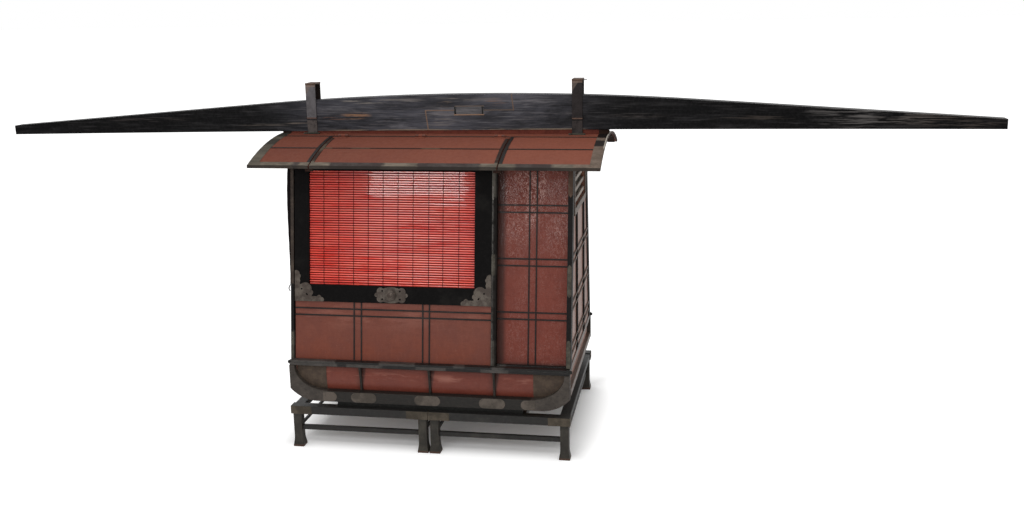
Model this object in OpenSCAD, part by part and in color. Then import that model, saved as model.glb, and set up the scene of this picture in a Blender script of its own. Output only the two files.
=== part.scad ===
// Sedan palanquin: a lacquered cabin under a carrying beam, on two low trestles.
// Millimetres. Origin on the floor under the middle of the beam, X along the beam, Z up.
// The side towards -Y is called near and the side towards +Y is called far.

/* [Carrying beam] */
// Length of the beam from tip to tip
beam_l = 3960; // [3400:10:4400]
// Thickness of the beam
beam_t = 56; // [46:1:66]
// Height of the beam at its middle
beam_h = 140; // [125:1:165]
// Height of the beam at its tips
beam_end_h = 37; // [30:1:60]
// Half length of the arched middle of the beam's top, before it runs straight to the tips
beam_arc_half = 860; // [700:10:1100]
// Rise of the beam's underside from tips to middle
beam_rise = 8; // [4:1:16]
// Lift of the beam's underside over the roof's ridge
beam_lift = 15; // [12:1:30]
// Tilt of the beam, its +X tip up
beam_tilt = 0.48; // [0.1:0.01:0.8]
// Length of the scarf joint between the beam's halves
scarf_l = 353; // [260:1:420]
// Height of the scarf's lengthwise seam over the beam's underside
scarf_z = 77; // [60:1:90]
// Length of the key in the scarf
key_l = 102; // [70:1:130]
// Height of the key in the scarf
key_h = 29; // [20:1:36]

/* [Cabin body] */
// Length of the cabin over its corner posts
cabin_l = 1100; // [1000:5:1250]
// Place of the cabin's middle along the beam
cabin_x = -130; // [-160:1:-100]
// Half width over the sill rails
sill_half_w = 397; // [380:1:420]
// Step in from the sill's outer face to the foot of the side walls
wall_inset = 23; // [15:0.1:40]
// How far the side walls lean in from the sill to the eaves
wall_lean = 126.6; // [100:0.1:150]
// Height of the trestles, where the cabin's feet stand
stand_h = 170; // [150:1:220]
// Height of the runner strips under the bottom rails
runner_h = 22; // [14:1:30]
// Height of the bottom rails
rail_h = 42; // [36:1:56]
// Height of the curved skirt between bottom rail and sill
skirt_h = 100.5; // [80:0.5:120]
// Height of the sill rail
sill_h = 20; // [18:0.5:30]
// Height from the top of the sill to the underside of the eaves
body_h = 755; // [690:1:820]
// Width of the front corner posts, seen from the side
front_post_w = 12; // [10:1:16]
// Width of the rear corner posts, seen from the side
rear_post_w = 18; // [14:1:24]
// Depth of the corner posts into the cabin
post_d = 46; // [44:1:60]
// Thickness of the wall boards
board_t = 12; // [8:1:16]
// Width of the narrow battens on the boards
batten_w = 5; // [4:0.5:8]
// Height of the battens over the boards
batten_p = 3; // [2:0.5:4]

/* [Roof] */
// How far the roof stands out past the cabin's ends
roof_over = 113.5; // [80:0.5:160]
// How far the eaves stand out past the sill rails
eave_over = 3; // [0:1:30]
// Outer radius of the roof's arch
roof_r = 1100; // [950:5:1400]
// Thickness of the roof
roof_t = 9; // [7:0.5:12]
// Half width of the fixed strip along the ridge
ridge_half_w = 98; // [90:1:140]
// Front seam of the roof flaps, from the cabin's middle
flap_x0 = -422; // [-440:1:-400]
// Rear seam of the roof flaps, from the cabin's middle
flap_x1 = 290; // [282:1:320]

/* [Doors] */
// Front edge of the doors, from the cabin's middle
door_x0 = -533; // [-533:1:-525]
// Rear edge of the doors, from the cabin's middle
door_x1 = 264; // [240:1:270]
// Thickness of the doors
door_t = 24; // [20:1:26]
// Width of the doors' front stile
front_stile_w = 57; // [45:1:70]
// Width of the doors' rear stile
rear_stile_w = 66; // [50:1:80]
// Width of the metal edge strip on the doors' rear edge
edge_w = 19; // [14:1:24]
// Height of the doors' middle rail over the sill
rail_z = 224; // [190:1:250]
// Height of the doors' middle rail
rail_w = 64; // [50:1:80]
// Pitch of the slats in the blinds
slat_pitch = 10.3; // [8:0.1:14]

/* [Trestles] */
// Length of each trestle
trestle_l = 548; // [500:1:600]
// Gap between the two trestles
trestle_gap = 4; // [3:1:20]
// How far the trestles stand out past the cabin's bottom rails
trestle_over = 8; // [4:1:25]
// Width of the trestles' legs
leg_w = 33; // [26:1:38]
// Width of the trestles' flared feet
foot_w = 43; // [40:1:56]
// Height of the trestles' top frame
top_h = 32; // [28:1:42]

/* [Hidden] */
$fn = 64;

// clearances: a seat between curved faces, a runner in its groove, a moving piece past a fixed one
seat = 0.3;
run = 1.5;
clear = 5;

// heights that follow from each other
rail_z0 = stand_h + runner_h;
rail_z1 = rail_z0 + rail_h;
sill_z0 = rail_z1 + skirt_h;
sill_top = sill_z0 + sill_h;
eave_z = sill_top + body_h;
lean_run = wall_lean / body_h;
lean = atan(lean_run);

// widths that follow from the sill's
wall_foot = sill_half_w - wall_inset;
rail_over = 3;
rail_out = sill_half_w + rail_over;
roof_l = cabin_l + 2 * roof_over;
roof_w = 2 * (sill_half_w + eave_over);
trestle_w = 2 * (rail_out + trestle_over);
inner_half_w = wall_foot - post_d - 5;

// the roof's arch, and the cabin's ends
roof_top_z = eave_z + roof_t;
roof_cz = roof_top_z - sqrt(pow(roof_r, 2) - pow(roof_w / 2, 2));
roof_in = roof_r - roof_t;
ridge_z = roof_cz + roof_r;
half_l = cabin_l / 2;
post_x0 = front_post_w - half_l;
post_x1 = half_l - rear_post_w;

// layers of the side walls, measured inwards from the wall's outer plane
panel_d = door_t + clear + batten_p + 1;
panel_in = panel_d + board_t;
tongue_w = 8;
tongue_d = (door_t - tongue_w) / 2;
groove_h = 10;
tongue_h = groove_h + run - seat;
top_tongue_h = 8;
door_z0 = sill_top + run;
header_z0 = eave_z - 17;
door_z1 = header_z0 - run;
rail_bot = sill_top + rail_z;
rail_top = rail_bot + rail_w;
blind_top = door_z1 - 12;

// half width of the side wall at a height, and the roof's height at a distance from the ridge
function wall_y(z) = wall_foot - (z - sill_top) * lean_run;
function roof_z(y, r) = roof_cz + sqrt(r * r - y * y);
function arc_r(half_chord, rise) = (half_chord * half_chord + rise * rise) / (2 * rise);

// extrusions of an outline in the YZ plane along X, and of an outline in the XZ plane along Y
module prism_x(x0, x1) translate([x0, 0, 0]) rotate([90, 0, 90]) linear_extrude(x1 - x0) children();
module prism_y(y0, y1) translate([0, y1, 0]) rotate([90, 0, 0]) linear_extrude(y1 - y0) children();
module block(x, y, z) translate([x[0], y[0], z[0]]) cube([x[1] - x[0], y[1] - y[0], z[1] - z[0]]);
module both_sides() { children(); mirror([0, 1, 0]) children(); }
module in_cabin() translate([cabin_x, 0, 0]) children();

// board in the leaning near wall between two depths, with level ends
module side_slab(x, z, d) prism_x(x[0], x[1])
    polygon([for (p = [[0, 0], [1, 0], [1, 1], [0, 1]]) [d[p[0]] - wall_y(z[p[1]]), z[p[1]]]]);

// frame of the leaning near wall: x along the cabin, y up the slope, z outwards
module on_wall(z = sill_top) translate([0, -wall_y(z), z]) rotate([90 - lean, 0, 0]) children();

// everything under the roof, kept clear of its inner face
module under_roof() translate([-cabin_l, 0, roof_cz]) rotate([0, 90, 0])
    cylinder(r = roof_in - seat, h = 2 * cabin_l, $fn = 360);

// piece of the roof's arch between two radii, over a stretch of X and of Y
module arch(x, y, r) intersection() {
    block(x, y, [roof_cz, ridge_z + 2 * roof_t]);
    translate([x[0], 0, roof_cz]) rotate([0, 90, 0]) difference() {
        cylinder(r = r[1], h = x[1] - x[0], $fn = 360);
        translate([0, 0, -1]) cylinder(r = r[0], h = x[1] - x[0] + 2, $fn = 360);
    }
}

// Trestles

trestle_x = [for (s = [0, 1]) (s == 0 ? -1 : 1) * trestle_gap / 2 - (s == 0 ? trestle_l : 0)];
top_z = stand_h - top_h;
top_rail_w = 40;
cross_w = 26;
cross_f = [0, 0.33, 0.67, 1];
stretcher_t = 16;
stretcher_z = [68, 86];
side_stretcher_t = 9;
side_stretcher_z = [72, 84];
foot_h = 6;
flare_h = 38;
leg_at = foot_w / 2;
flare = (foot_w - leg_w) / 2;

// outline of a leg with its flared foot, about the leg's axis
module leg_outline() polygon(concat(
    [[-leg_at, 0], [leg_at, 0], [leg_at, foot_h]],
    [for (t = [0.25:0.25:1]) [leg_at - flare * sin(90 * t), foot_h + flare_h * t]],
    [[leg_w / 2, top_z], [-leg_w / 2, top_z]],
    [for (t = [1:-0.25:0.25]) [flare * sin(90 * t) - leg_at, foot_h + flare_h * t]],
    [[-leg_at, foot_h]]));

module at_legs() for (x = trestle_x, e = [0, 1], s = [-1, 1])
    translate([x + (e == 0 ? leg_at : trestle_l - leg_at), s * (trestle_w / 2 - leg_at), 0])
        children();

module trestle_legs() color("#2c2e2a") in_cabin() at_legs() intersection() {
    prism_y(-leg_at, leg_at) leg_outline();
    prism_x(-leg_at, leg_at) leg_outline();
}

module trestle_top_rails() color("#24261f") in_cabin() for (x = trestle_x) both_sides()
    block([x, x + trestle_l], [-trestle_w / 2, top_rail_w - trestle_w / 2], [top_z, stand_h]);

module trestle_cross_rails() color("#24261f") in_cabin() for (x = trestle_x, f = cross_f)
    let (w = f == 0 || f == 1 ? top_rail_w : cross_w, at = x + 2 + f * (trestle_l - 4 - w),
        y = trestle_w / 2 - top_rail_w)
        block([at, at + w], [-y, y], [top_z + 6, stand_h - 3]);

module trestle_stretchers() color("#20221d") in_cabin() for (x = trestle_x) both_sides()
    let (y = leg_at - trestle_w / 2) block([x + leg_at + leg_w / 2, x + trestle_l - leg_at - leg_w / 2],
        [y - stretcher_t / 2, y + stretcher_t / 2], stretcher_z);

module trestle_side_stretchers() color("#20221d") in_cabin() for (x = trestle_x, e = [0, 1])
    let (mid = x + (e == 0 ? leg_at : trestle_l - leg_at), y = trestle_w / 2 - leg_at - leg_w / 2)
        block([mid - side_stretcher_t / 2, mid + side_stretcher_t / 2], [-y, y], side_stretcher_z);

cap_l = 83;
cap_t = 1.2;
module trestle_caps() color("#4a4638") in_cabin() for (x = trestle_x, e = [0, 1]) both_sides()
    let (a = e == 0 ? x - cap_t : x + trestle_l - cap_l, y = -trestle_w / 2) difference() {
        block([a, a + cap_l + cap_t], [y - cap_t, y + top_rail_w], [top_z, stand_h]);
        block([x, x + trestle_l], [y, 0], [top_z - 1, stand_h + 1]);
    }

// Lower body

corner_r = 146;
corner_in = 109;
corner_x = half_l - corner_in;
end_rail_t = 21;
end_rail_in = 30;
end_rail_h = 76;
gusset_w = 134;
gusset_x = half_l - end_rail_t - gusset_w;
gusset_t = 20;
rail_deep = 50;
runner_w = 20;
runner_in = 16;
runner_half_l = corner_x - 75;
floor_z0 = rail_z0 + 12;
floor_t = 12;

// side outline of the bottom rail with its rising, rounded ends
module rail_outline() difference() {
    intersection() {
        translate([-half_l, rail_z0]) square([cabin_l, rail_h + skirt_h]);
        union() {
            translate([-corner_x, rail_z0]) square([2 * corner_x, rail_h + skirt_h]);
            for (s = [-1, 1]) translate([s * corner_x, rail_z0 + corner_r]) circle(corner_r, $fn = 96);
        }
    }
    polygon(concat([for (a = [0:7.5:90]) gusset_edge(1, a)],
        [[gusset_x + gusset_w, sill_z0 + 1], [-gusset_x - gusset_w, sill_z0 + 1]],
        [for (a = [90:-7.5:0]) gusset_edge(-1, a)]));
}
function gusset_edge(s, a) = [s * (gusset_x + gusset_w * sin(a)), sill_z0 - 4 - (skirt_h - 4) * cos(a)];

module bottom_rail() in_cabin() {
    prism_y(-rail_out, gusset_t - rail_out) rail_outline();
    block([-corner_x, corner_x], [gusset_t - rail_out - 0.01, rail_deep - rail_out], [rail_z0, rail_z1]);
}
module bottom_rail_near() color("#1d1c1a") bottom_rail();
module bottom_rail_far() color("#1d1c1a") mirror([0, 1, 0]) bottom_rail();

module runner_strips() color("#171613") in_cabin() both_sides()
    block([-runner_half_l, runner_half_l], [runner_in - rail_out, runner_in + runner_w - rail_out],
        [stand_h, rail_z0]);

// rounded end rail between the gussets, narrower where it passes between the skirts
end_rail_z1 = rail_z0 + end_rail_h;
module corner_disc(r, x) intersection() {
    translate([corner_x, rail_z0 + corner_r]) circle(r, $fn = 96);
    translate([0, rail_z0]) square([x, corner_r]);
}
module end_rail(y, z) prism_y(-y, y) intersection() {
    difference() {
        corner_disc(corner_r - 1, half_l);
        corner_disc(corner_r - end_rail_t, half_l - end_rail_t);
    }
    translate([corner_x + end_rail_in, z[0]]) square([corner_r, z[1] - z[0]]);
}
module bottom_end_rails() color("#1d1c1a") in_cabin() for (s = [0, 1]) mirror([s, 0, 0]) {
    end_rail(rail_out - gusset_t, [rail_z0, rail_z1]);
    end_rail(skirt_in - 0.5, [rail_z1 - 0.01, end_rail_z1]);
}

module floor_board() color("#5b3a24") in_cabin() let (x = corner_x + end_rail_in, y = rail_out - rail_deep)
    block([-x, x], [-y, y], [floor_z0, floor_z0 + floor_t]);

// the skirt bulges outwards by this rise between the bottom rail and the sill
skirt_rise = 7;
skirt_r = arc_r(skirt_h / 2, skirt_rise);
skirt_t = 8;
skirt_out = sill_half_w - 21;
skirt_in = skirt_out - skirt_rise - skirt_t;
skirt_half_l = half_l - end_rail_t - 1;
module skirt_band(x, r, z) intersection() {
    block(x, [-skirt_out - 10, 36 - skirt_out], z);
    translate([x[0], skirt_r - skirt_out, (rail_z1 + sill_z0) / 2]) rotate([0, 90, 0]) difference() {
        cylinder(r = skirt_r + r[1], h = x[1] - x[0], $fn = 180);
        translate([0, 0, -1]) cylinder(r = skirt_r + r[0], h = x[1] - x[0] + 2, $fn = 180);
    }
}
module skirt() in_cabin() skirt_band([-skirt_half_l, skirt_half_l], [-skirt_t, 0], [rail_z1, sill_z0]);
module skirt_near() color("#74432f") skirt();
module skirt_far() color("#74432f") mirror([0, 1, 0]) skirt();
module skirt_ends() color("#74432f") in_cabin() for (s = [-1, 1])
    let (x = s < 0 ? -skirt_half_l - skirt_t : skirt_half_l)
        block([x, x + skirt_t], [-skirt_in - 1, skirt_in + 1], [end_rail_z1, sill_z0]);

// curved brackets under the sill, over the skirt
rib_x = [-268, 6, 258];
rib_t = 8;
rib_foot = 4;
rib_reach = 15;
module skirt_ribs() color("#1d1c1a") in_cabin() both_sides() for (x = rib_x)
    prism_x(x - rib_t / 2, x + rib_t / 2) difference() {
        polygon(concat([[6 - skirt_out, rail_z1], [-skirt_out - rib_foot, rail_z1]],
            [for (t = [0.2:0.2:1]) [-skirt_out - rib_foot - rib_reach * t * t, rail_z1 + skirt_h * t]],
            [[6 - skirt_out, sill_z0]]));
        translate([skirt_r - skirt_out, (rail_z1 + sill_z0) / 2]) circle(skirt_r + seat, $fn = 180);
    }

fan_x = [gusset_x + 13, skirt_half_l - 2];
fan_t = 1.2;
module corner_fans() color("#6b5636") in_cabin() both_sides() for (x = [fan_x, [-fan_x[1], -fan_x[0]]])
    skirt_band(x, [seat, seat + fan_t], [rail_z1 + 1, sill_z0 - 1]);

// oval-ended plates on the bottom rails
plate_x = [-254, -1, 252];
plate_t = 1.5;
plate_reach = 31;
module rail_plates() color("#4d4438") in_cabin() both_sides() for (x = plate_x)
    let (r = (rail_h - 3) / 2) prism_y(-rail_out - plate_t, -rail_out)
        translate([x, (rail_z0 + rail_z1) / 2]) {
            for (e = [-1, 1]) translate([e * plate_reach, 0]) circle(r, $fn = 40);
            square([2 * plate_reach, 2 * r], center = true);
        }

// sill rails, with a step along the top of their outer faces
sill_step = 3;
sill_step_h = 8;
module sill_rails() color("#22211e") in_cabin() both_sides() difference() {
    let (x = [1 - half_l, half_l - 1], z = sill_top - sill_step_h) {
        block(x, [-sill_half_w, -inner_half_w], [sill_z0, z]);
        block(x, [sill_step - sill_half_w, -inner_half_w], [z - 0.01, sill_top]);
    }
    side_slab([post_x0, post_x1], [sill_top - groove_h, sill_top + 2],
        [tongue_d - run, tongue_d + tongue_w + run]);
}

end_sill_w = 40;
module end_sills() color("#22211e") in_cabin() for (s = [-1, 1])
    let (x = s < 0 ? 1 - half_l : half_l - 1 - end_sill_w)
        block([x, x + end_sill_w], [-inner_half_w, inner_half_w], [sill_z0, sill_top]);

// Walls

module corner_posts() color("#1b1a18") in_cabin() both_sides() intersection() {
    union() {
        side_slab([-half_l, post_x0], [sill_top, ridge_z], [0, post_d]);
        side_slab([post_x1, half_l], [sill_top, ridge_z], [0, post_d]);
    }
    under_roof();
}

panel_x0 = door_x1 - 12;
module side_panels() color("#7a4534") in_cabin() both_sides() intersection() {
    side_slab([panel_x0, post_x1], [sill_top, header_z0], [panel_d, panel_in]);
    under_roof();
}

// battens on the fixed rear panels: [height over the sill] level ones, [place along X] upright ones
panel_bars = [168, 194, 369, 395, 568, 595];
panel_uprights = [381, 409];
module side_battens() color("#2c2a26") in_cabin() both_sides() {
    d = [panel_d - batten_p, panel_d];
    for (h = panel_bars) side_slab([panel_x0, post_x1], [sill_top + h, sill_top + h + batten_w], d);
    for (x = panel_uprights) side_slab([x, x + batten_w], [sill_top, header_z0], d);
}

// end walls between the posts, up to the roof; the windows are cut in both
end_t = 14;
end_back = 5;
win_below = 181;
win_above = 20;
win_z0 = eave_z - win_below;
win_z1 = eave_z + win_above;
win_frame_w = 14;
win_half_w = wall_y(win_z1) - post_d - win_frame_w;
module end_board(x) prism_x(x, x + end_t) difference() {
    polygon([[post_d - wall_y(sill_top), sill_top], [wall_y(sill_top) - post_d, sill_top],
        [wall_y(ridge_z) - post_d, ridge_z], [post_d - wall_y(ridge_z), ridge_z]]);
    translate([-win_half_w, win_z0]) square([2 * win_half_w, win_z1 - win_z0]);
}
module end_wall_front() color("#74432f") in_cabin() intersection() {
    end_board(end_back - half_l);
    under_roof();
}
module end_wall_rear() color("#74432f") in_cabin() intersection() {
    end_board(half_l - end_back - end_t);
    under_roof();
}

// battens on the end walls: level pairs, and upright pairs below the window
end_bars = [34, 66, 198, 230, 375, 403];
end_uprights = [105, 133];
end_bar_w = 6;
win_sill_h = 24;
module end_battens() color("#1f1e1b") in_cabin() for (s = [-1, 1]) {
    x = s < 0 ? [-half_l, end_back - half_l] : [half_l - end_back, half_l];
    for (h = end_bars) prism_x(x[0], x[1])
        polygon([for (p = [[-1, 0], [1, 0], [1, 1], [-1, 1]]) let (z = sill_top + h + p[1] * end_bar_w)
            [p[0] * (wall_y(z) - post_d), z]]);
    block(x, [-win_half_w - win_frame_w, win_half_w + win_frame_w], [win_z0 - win_sill_h, win_z0]);
    both_sides() {
        for (y = end_uprights) block(x, [-y - end_bar_w, -y], [sill_top, win_z0 - win_sill_h]);
        block(x, [-win_half_w - win_frame_w, -win_half_w], [win_z0, win_z1]);
    }
}

// level bars of the rear window
bar_pitch = 26;
bar_w = 11;
module window_bars() color("#a08468") in_cabin() for (z = [win_z0 + 9:bar_pitch:win_z1 - bar_w - 1])
    block([half_l - end_back - end_t, half_l - end_back], [-win_half_w, win_half_w], [z, z + bar_w]);

// outline of a blind: flat-backed slats, one over the other, n slats from the origin up
slat_t = 4;
module slats(n, pitch) polygon(concat([[0, 0]],
    [for (i = [0:n - 1], p = [[0.06, 0.5], [0.3, 1], [0.7, 1], [0.94, 0.5]])
        [(i + p[0]) * pitch, p[1] * slat_t]],
    [[n * pitch, 0]]));

// bowed blind that hangs over the front window, as wide as the walls there
front_blind_z0 = rail_top;
front_blind_h = eave_z - 6 - front_blind_z0;
front_blind_bow = 13;
front_blind_arc = 130;
front_blind_t = 3.7;
front_blind_in = 6;
function bow(t, d) = [-d - front_blind_bow * sin(front_blind_arc * pow(t, 1.5)),
    front_blind_z0 + t * front_blind_h];
module front_blind() color("#2a1512") in_cabin() translate([-half_l, 0, 0]) intersection() {
    prism_y(-wall_foot, wall_foot) polygon(concat(
        [for (t = [0:0.125:1]) bow(t, seat + front_blind_t)], [for (t = [1:-0.125:0]) bow(t, seat)]));
    prism_x(-half_l, half_l) polygon([for (p = [[-1, 0], [1, 0], [1, 1], [-1, 1]])
        let (z = front_blind_z0 + p[1] * front_blind_h) [p[0] * (wall_y(z) - front_blind_in), z]]);
}

// Roof frame

rafter_h = 12;
rafter_w = 30;
end_rafter_in = 42;
rafter_x = [-roof_l / 2 + 8, flap_x0 - rafter_w / 2, flap_x1 - rafter_w / 2, roof_l / 2 - 8 - rafter_w];
module rafters() color("#2a2722") in_cabin() for (x = rafter_x) {
    half_l = roof_w / 2 - (abs(x + rafter_w / 2) > roof_l / 3 ? end_rafter_in : 4);
    arch([x, x + rafter_w], [-half_l, half_l], [roof_in - rafter_h, roof_in - seat]);
}

// header over each side wall, with the groove for the door, notched round the rafters
module headers() color("#1b1a18") in_cabin() both_sides() difference() {
    intersection() {
        side_slab([post_x0, post_x1], [header_z0, ridge_z], [0, panel_in]);
        under_roof();
    }
    side_slab([post_x0 - 1, post_x1 + 1], [header_z0 - 1, header_z0 + groove_h],
        [tongue_d - run, tongue_d + tongue_w + run]);
    for (x = [flap_x0, flap_x1]) translate([x - rafter_w / 2 - seat, 0, 0])
        arch([0, rafter_w + 2 * seat], [-roof_w / 2, 0], [roof_in - rafter_h - seat, roof_r]);
}

purlin_end = half_l - end_back - end_t;
ridge_w = 44;
ridge_h = 24;
module ridge_purlin() color("#2a2722") in_cabin() for (x = [[-purlin_end, flap_x0 - rafter_w / 2],
    [flap_x0 + rafter_w / 2, flap_x1 - rafter_w / 2], [flap_x1 + rafter_w / 2, purlin_end]])
        arch(x, [-ridge_w / 2, ridge_w / 2], [roof_in - ridge_h, roof_in - seat]);

purlin_w = 28;
purlin_h = 18;
module hinge_purlins() color("#2a2722") in_cabin() both_sides()
    arch([flap_x0 + rafter_w / 2, flap_x1 - rafter_w / 2], [-ridge_half_w, purlin_w - ridge_half_w],
        [roof_in - purlin_h, roof_in - seat]);

// Roof

seam = 5;
axis_y = ridge_half_w + seam / 2;
knuckle_r = 5;
pin_r = 2.5;
bore_r = 2.56;
axis_r = roof_r + knuckle_r + 0.5;
axis_z = roof_z(axis_y, axis_r);

module roof_shell() color("#78432f") in_cabin() difference() {
    arch([-roof_l / 2, roof_l / 2], [-roof_w / 2, roof_w / 2], [roof_in, roof_r]);
    both_sides() block([flap_x0 - seam / 2, flap_x1 + seam / 2],
        [-roof_w / 2 - 1, -ridge_half_w], [roof_cz, ridge_z + roof_t]);
}

// thin metal rim along the fixed roof's ends and eaves; at the eaves it wraps round the roof's edge
rim_t = 1.2;
end_rim_w = 40;
eave_rim_w = 25;
module eave_rim(x) {
    arch(x, [-roof_w / 2, eave_rim_w - roof_w / 2], [roof_r, roof_r + rim_t]);
    arch(x, [-roof_w / 2 - rim_t, -roof_w / 2], [roof_in, roof_r + rim_t]);
}
module roof_rim() color("#3c3d38") in_cabin() {
    for (s = [-1, 1]) let (x = s < 0 ? -roof_l / 2 : roof_l / 2 - end_rim_w)
        arch([x, x + end_rim_w], [-roof_w / 2, roof_w / 2], [roof_r, roof_r + rim_t]);
    for (x = [[-roof_l / 2, flap_x0 - seam / 2], [flap_x1 + seam / 2, roof_l / 2]]) both_sides() eave_rim(x);
}

// battens on the fixed roof: beside the flap seams, across its sides, and along the flaps' hinge line
seam_strip_w = 12;
strip_t = 2;
strip_w = 6;
strip_y = [-256, strip_w - 256];
hinge_x = [-380, -66, 248];
leaf_l = 40;
hinge_strip_y = [-ridge_half_w, strip_w - ridge_half_w];
hinge_strip_x = concat([end_rim_w - roof_l / 2],
    [for (x = hinge_x) each [x - leaf_l / 2 - 1, x + leaf_l / 2 + 1]], [roof_l / 2 - end_rim_w]);
module roof_battens() color("#3f3129") in_cabin() both_sides() {
    for (i = [0:2:len(hinge_strip_x) - 2])
        arch([hinge_strip_x[i], hinge_strip_x[i + 1]], hinge_strip_y, [roof_r, roof_r + strip_t]);
    for (x = [flap_x0 - seam / 2 - seam_strip_w, flap_x1 + seam / 2])
        arch([x, x + seam_strip_w], [eave_rim_w - roof_w / 2, -ridge_half_w], [roof_r, roof_r + strip_t]);
    arch([end_rim_w - roof_l / 2, flap_x0 - seam / 2 - seam_strip_w], strip_y, [roof_r, roof_r + strip_t]);
    arch([flap_x1 + seam / 2 + seam_strip_w, roof_l / 2 - end_rim_w], strip_y, [roof_r, roof_r + strip_t]);
}

// barrel hinges: the fixed leaf has the two outer knuckles and the pin, the flap's leaf the inner one
leaf_w = 24;
leaf_t = 1.8;
knuckle_l = 12;
knuckle_gap = 0.5;
leaf_gap = 7;
module at_axis(x) translate([x, -axis_y, axis_z]) rotate([0, 90, 0]) children();
module fixed_hinge(x) {
    arch([x - leaf_l / 2, x + leaf_l / 2], [leaf_gap - axis_y, leaf_w - axis_y],
        [roof_r + seat, roof_r + leaf_t]);
    for (s = [-1, 1]) {
        k = s < 0 ? x - leaf_l / 2 : x + leaf_l / 2 - knuckle_l;
        arch([k, k + knuckle_l], [1 - axis_y, leaf_gap + 1 - axis_y], [roof_r + seat, roof_r + leaf_t]);
        at_axis(k) cylinder(r = knuckle_r, h = knuckle_l, $fn = 32);
    }
    at_axis(x - leaf_l / 2) cylinder(r = pin_r, h = leaf_l, $fn = 32);
}
module flap_hinge(x) difference() {
    k = x - leaf_l / 2 + knuckle_l + knuckle_gap;
    l = leaf_l - 2 * (knuckle_l + knuckle_gap);
    union() {
        arch([x - leaf_l / 2, x + leaf_l / 2], [-leaf_w - axis_y, -leaf_gap - axis_y],
            [roof_r, roof_r + leaf_t]);
        arch([k, k + l], [-leaf_gap - 1 - axis_y, -1 - axis_y], [roof_r + seat, roof_r + leaf_t]);
        at_axis(k) cylinder(r = knuckle_r, h = l, $fn = 32);
    }
    at_axis(x - leaf_l) cylinder(r = bore_r, h = 2 * leaf_l, $fn = 32);
}
module roof_hinges() color("#3c3d38") in_cabin() both_sides() for (x = hinge_x) fixed_hinge(x);

// hinged roof flap over each door, with its hinge leaves
module flap() in_cabin() {
    arch([flap_x0 + seam / 2, flap_x1 - seam / 2], [-roof_w / 2, -axis_y - seam / 2], [roof_in, roof_r]);
    for (x = hinge_x) flap_hinge(x);
}
module flap_near() color("#78432f") flap();
module flap_far() color("#78432f") mirror([0, 1, 0]) flap();

module flap_battens() in_cabin() {
    eave_rim([flap_x0 + seam / 2, flap_x1 - seam / 2]);
    for (x = [flap_x0 + seam / 2, flap_x1 - seam / 2 - seam_strip_w])
        arch([x, x + seam_strip_w], [eave_rim_w - roof_w / 2, -axis_y - leaf_w - 2],
            [roof_r, roof_r + strip_t]);
    arch([flap_x0 + seam / 2 + seam_strip_w, flap_x1 - seam / 2 - seam_strip_w], strip_y,
        [roof_r, roof_r + strip_t]);
}
module flap_battens_near() color("#3c3d38") flap_battens();
module flap_battens_far() color("#3c3d38") mirror([0, 1, 0]) flap_battens();

// Beam and hoops

beam_z = ridge_z + beam_lift;
// the top falls by this much from the middle to the tips, first round an arc and then straight
beam_fall = beam_h - beam_end_h + beam_rise;
beam_top_r = beam_arc_half * (beam_l - beam_arc_half) / 2 / beam_fall;
beam_low_r = arc_r(beam_l / 2, beam_rise);
scarf_x = -14.5;
slant = 9;
scarf_gap = 0.6;
mortise_l = key_l + 16;
key_x = -16;
function beam_under(x) = beam_z + x * tan(beam_tilt) - drop(x, beam_low_r);

// side outline of the beam: a flat arc under an arch that runs straight to the tips
beam_steps = 40;
function drop(x, r) = r - sqrt(r * r - x * x);
function top_fall(x) = let (a = min(abs(x), beam_arc_half))
    (a * a / 2 + (abs(x) - a) * beam_arc_half) / beam_top_r;
module beam_outline() let (x = [for (i = [0:beam_steps]) (i / beam_steps - 0.5) * beam_l])
    polygon(concat([for (p = x) [p, -drop(p, beam_low_r)]],
        [for (i = [beam_steps:-1:0]) [x[i], beam_h - top_fall(x[i])]]));

// side of the scarf that the front half fills, with butts that lean to lock the halves
module scarf_front() let (x0 = scarf_x - scarf_l / 2, x1 = scarf_x + scarf_l / 2,
    k0 = (scarf_z + 50) / scarf_z, k1 = (beam_h + 50 - scarf_z) / scarf_z)
    polygon([[-beam_l, -50], [x0 + slant * k0, -50], [x0, scarf_z], [x1, scarf_z],
        [x1 - slant * k1, beam_h + 50], [-beam_l, beam_h + 50]]);

module mortise() translate([key_x - mortise_l / 2, scarf_z - key_h / 2 - 0.1])
    square([mortise_l, key_h + 0.2]);

module as_beam() translate([0, 0, beam_z]) rotate([0, -beam_tilt, 0]) prism_y(-beam_t / 2, beam_t / 2)
    children();

module beam_front() color("#17181a") as_beam() difference() {
    intersection() {
        beam_outline();
        scarf_front();
    }
    mortise();
}
module beam_rear() color("#17181a") as_beam() difference() {
    beam_outline();
    scarf_front();
    translate([scarf_gap, -scarf_gap]) scarf_front();
    mortise();
}
module beam_key() color("#1d1d1d") as_beam() translate([key_x - key_l / 2, scarf_z - key_h / 2])
    square([key_l, key_h]);

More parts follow.
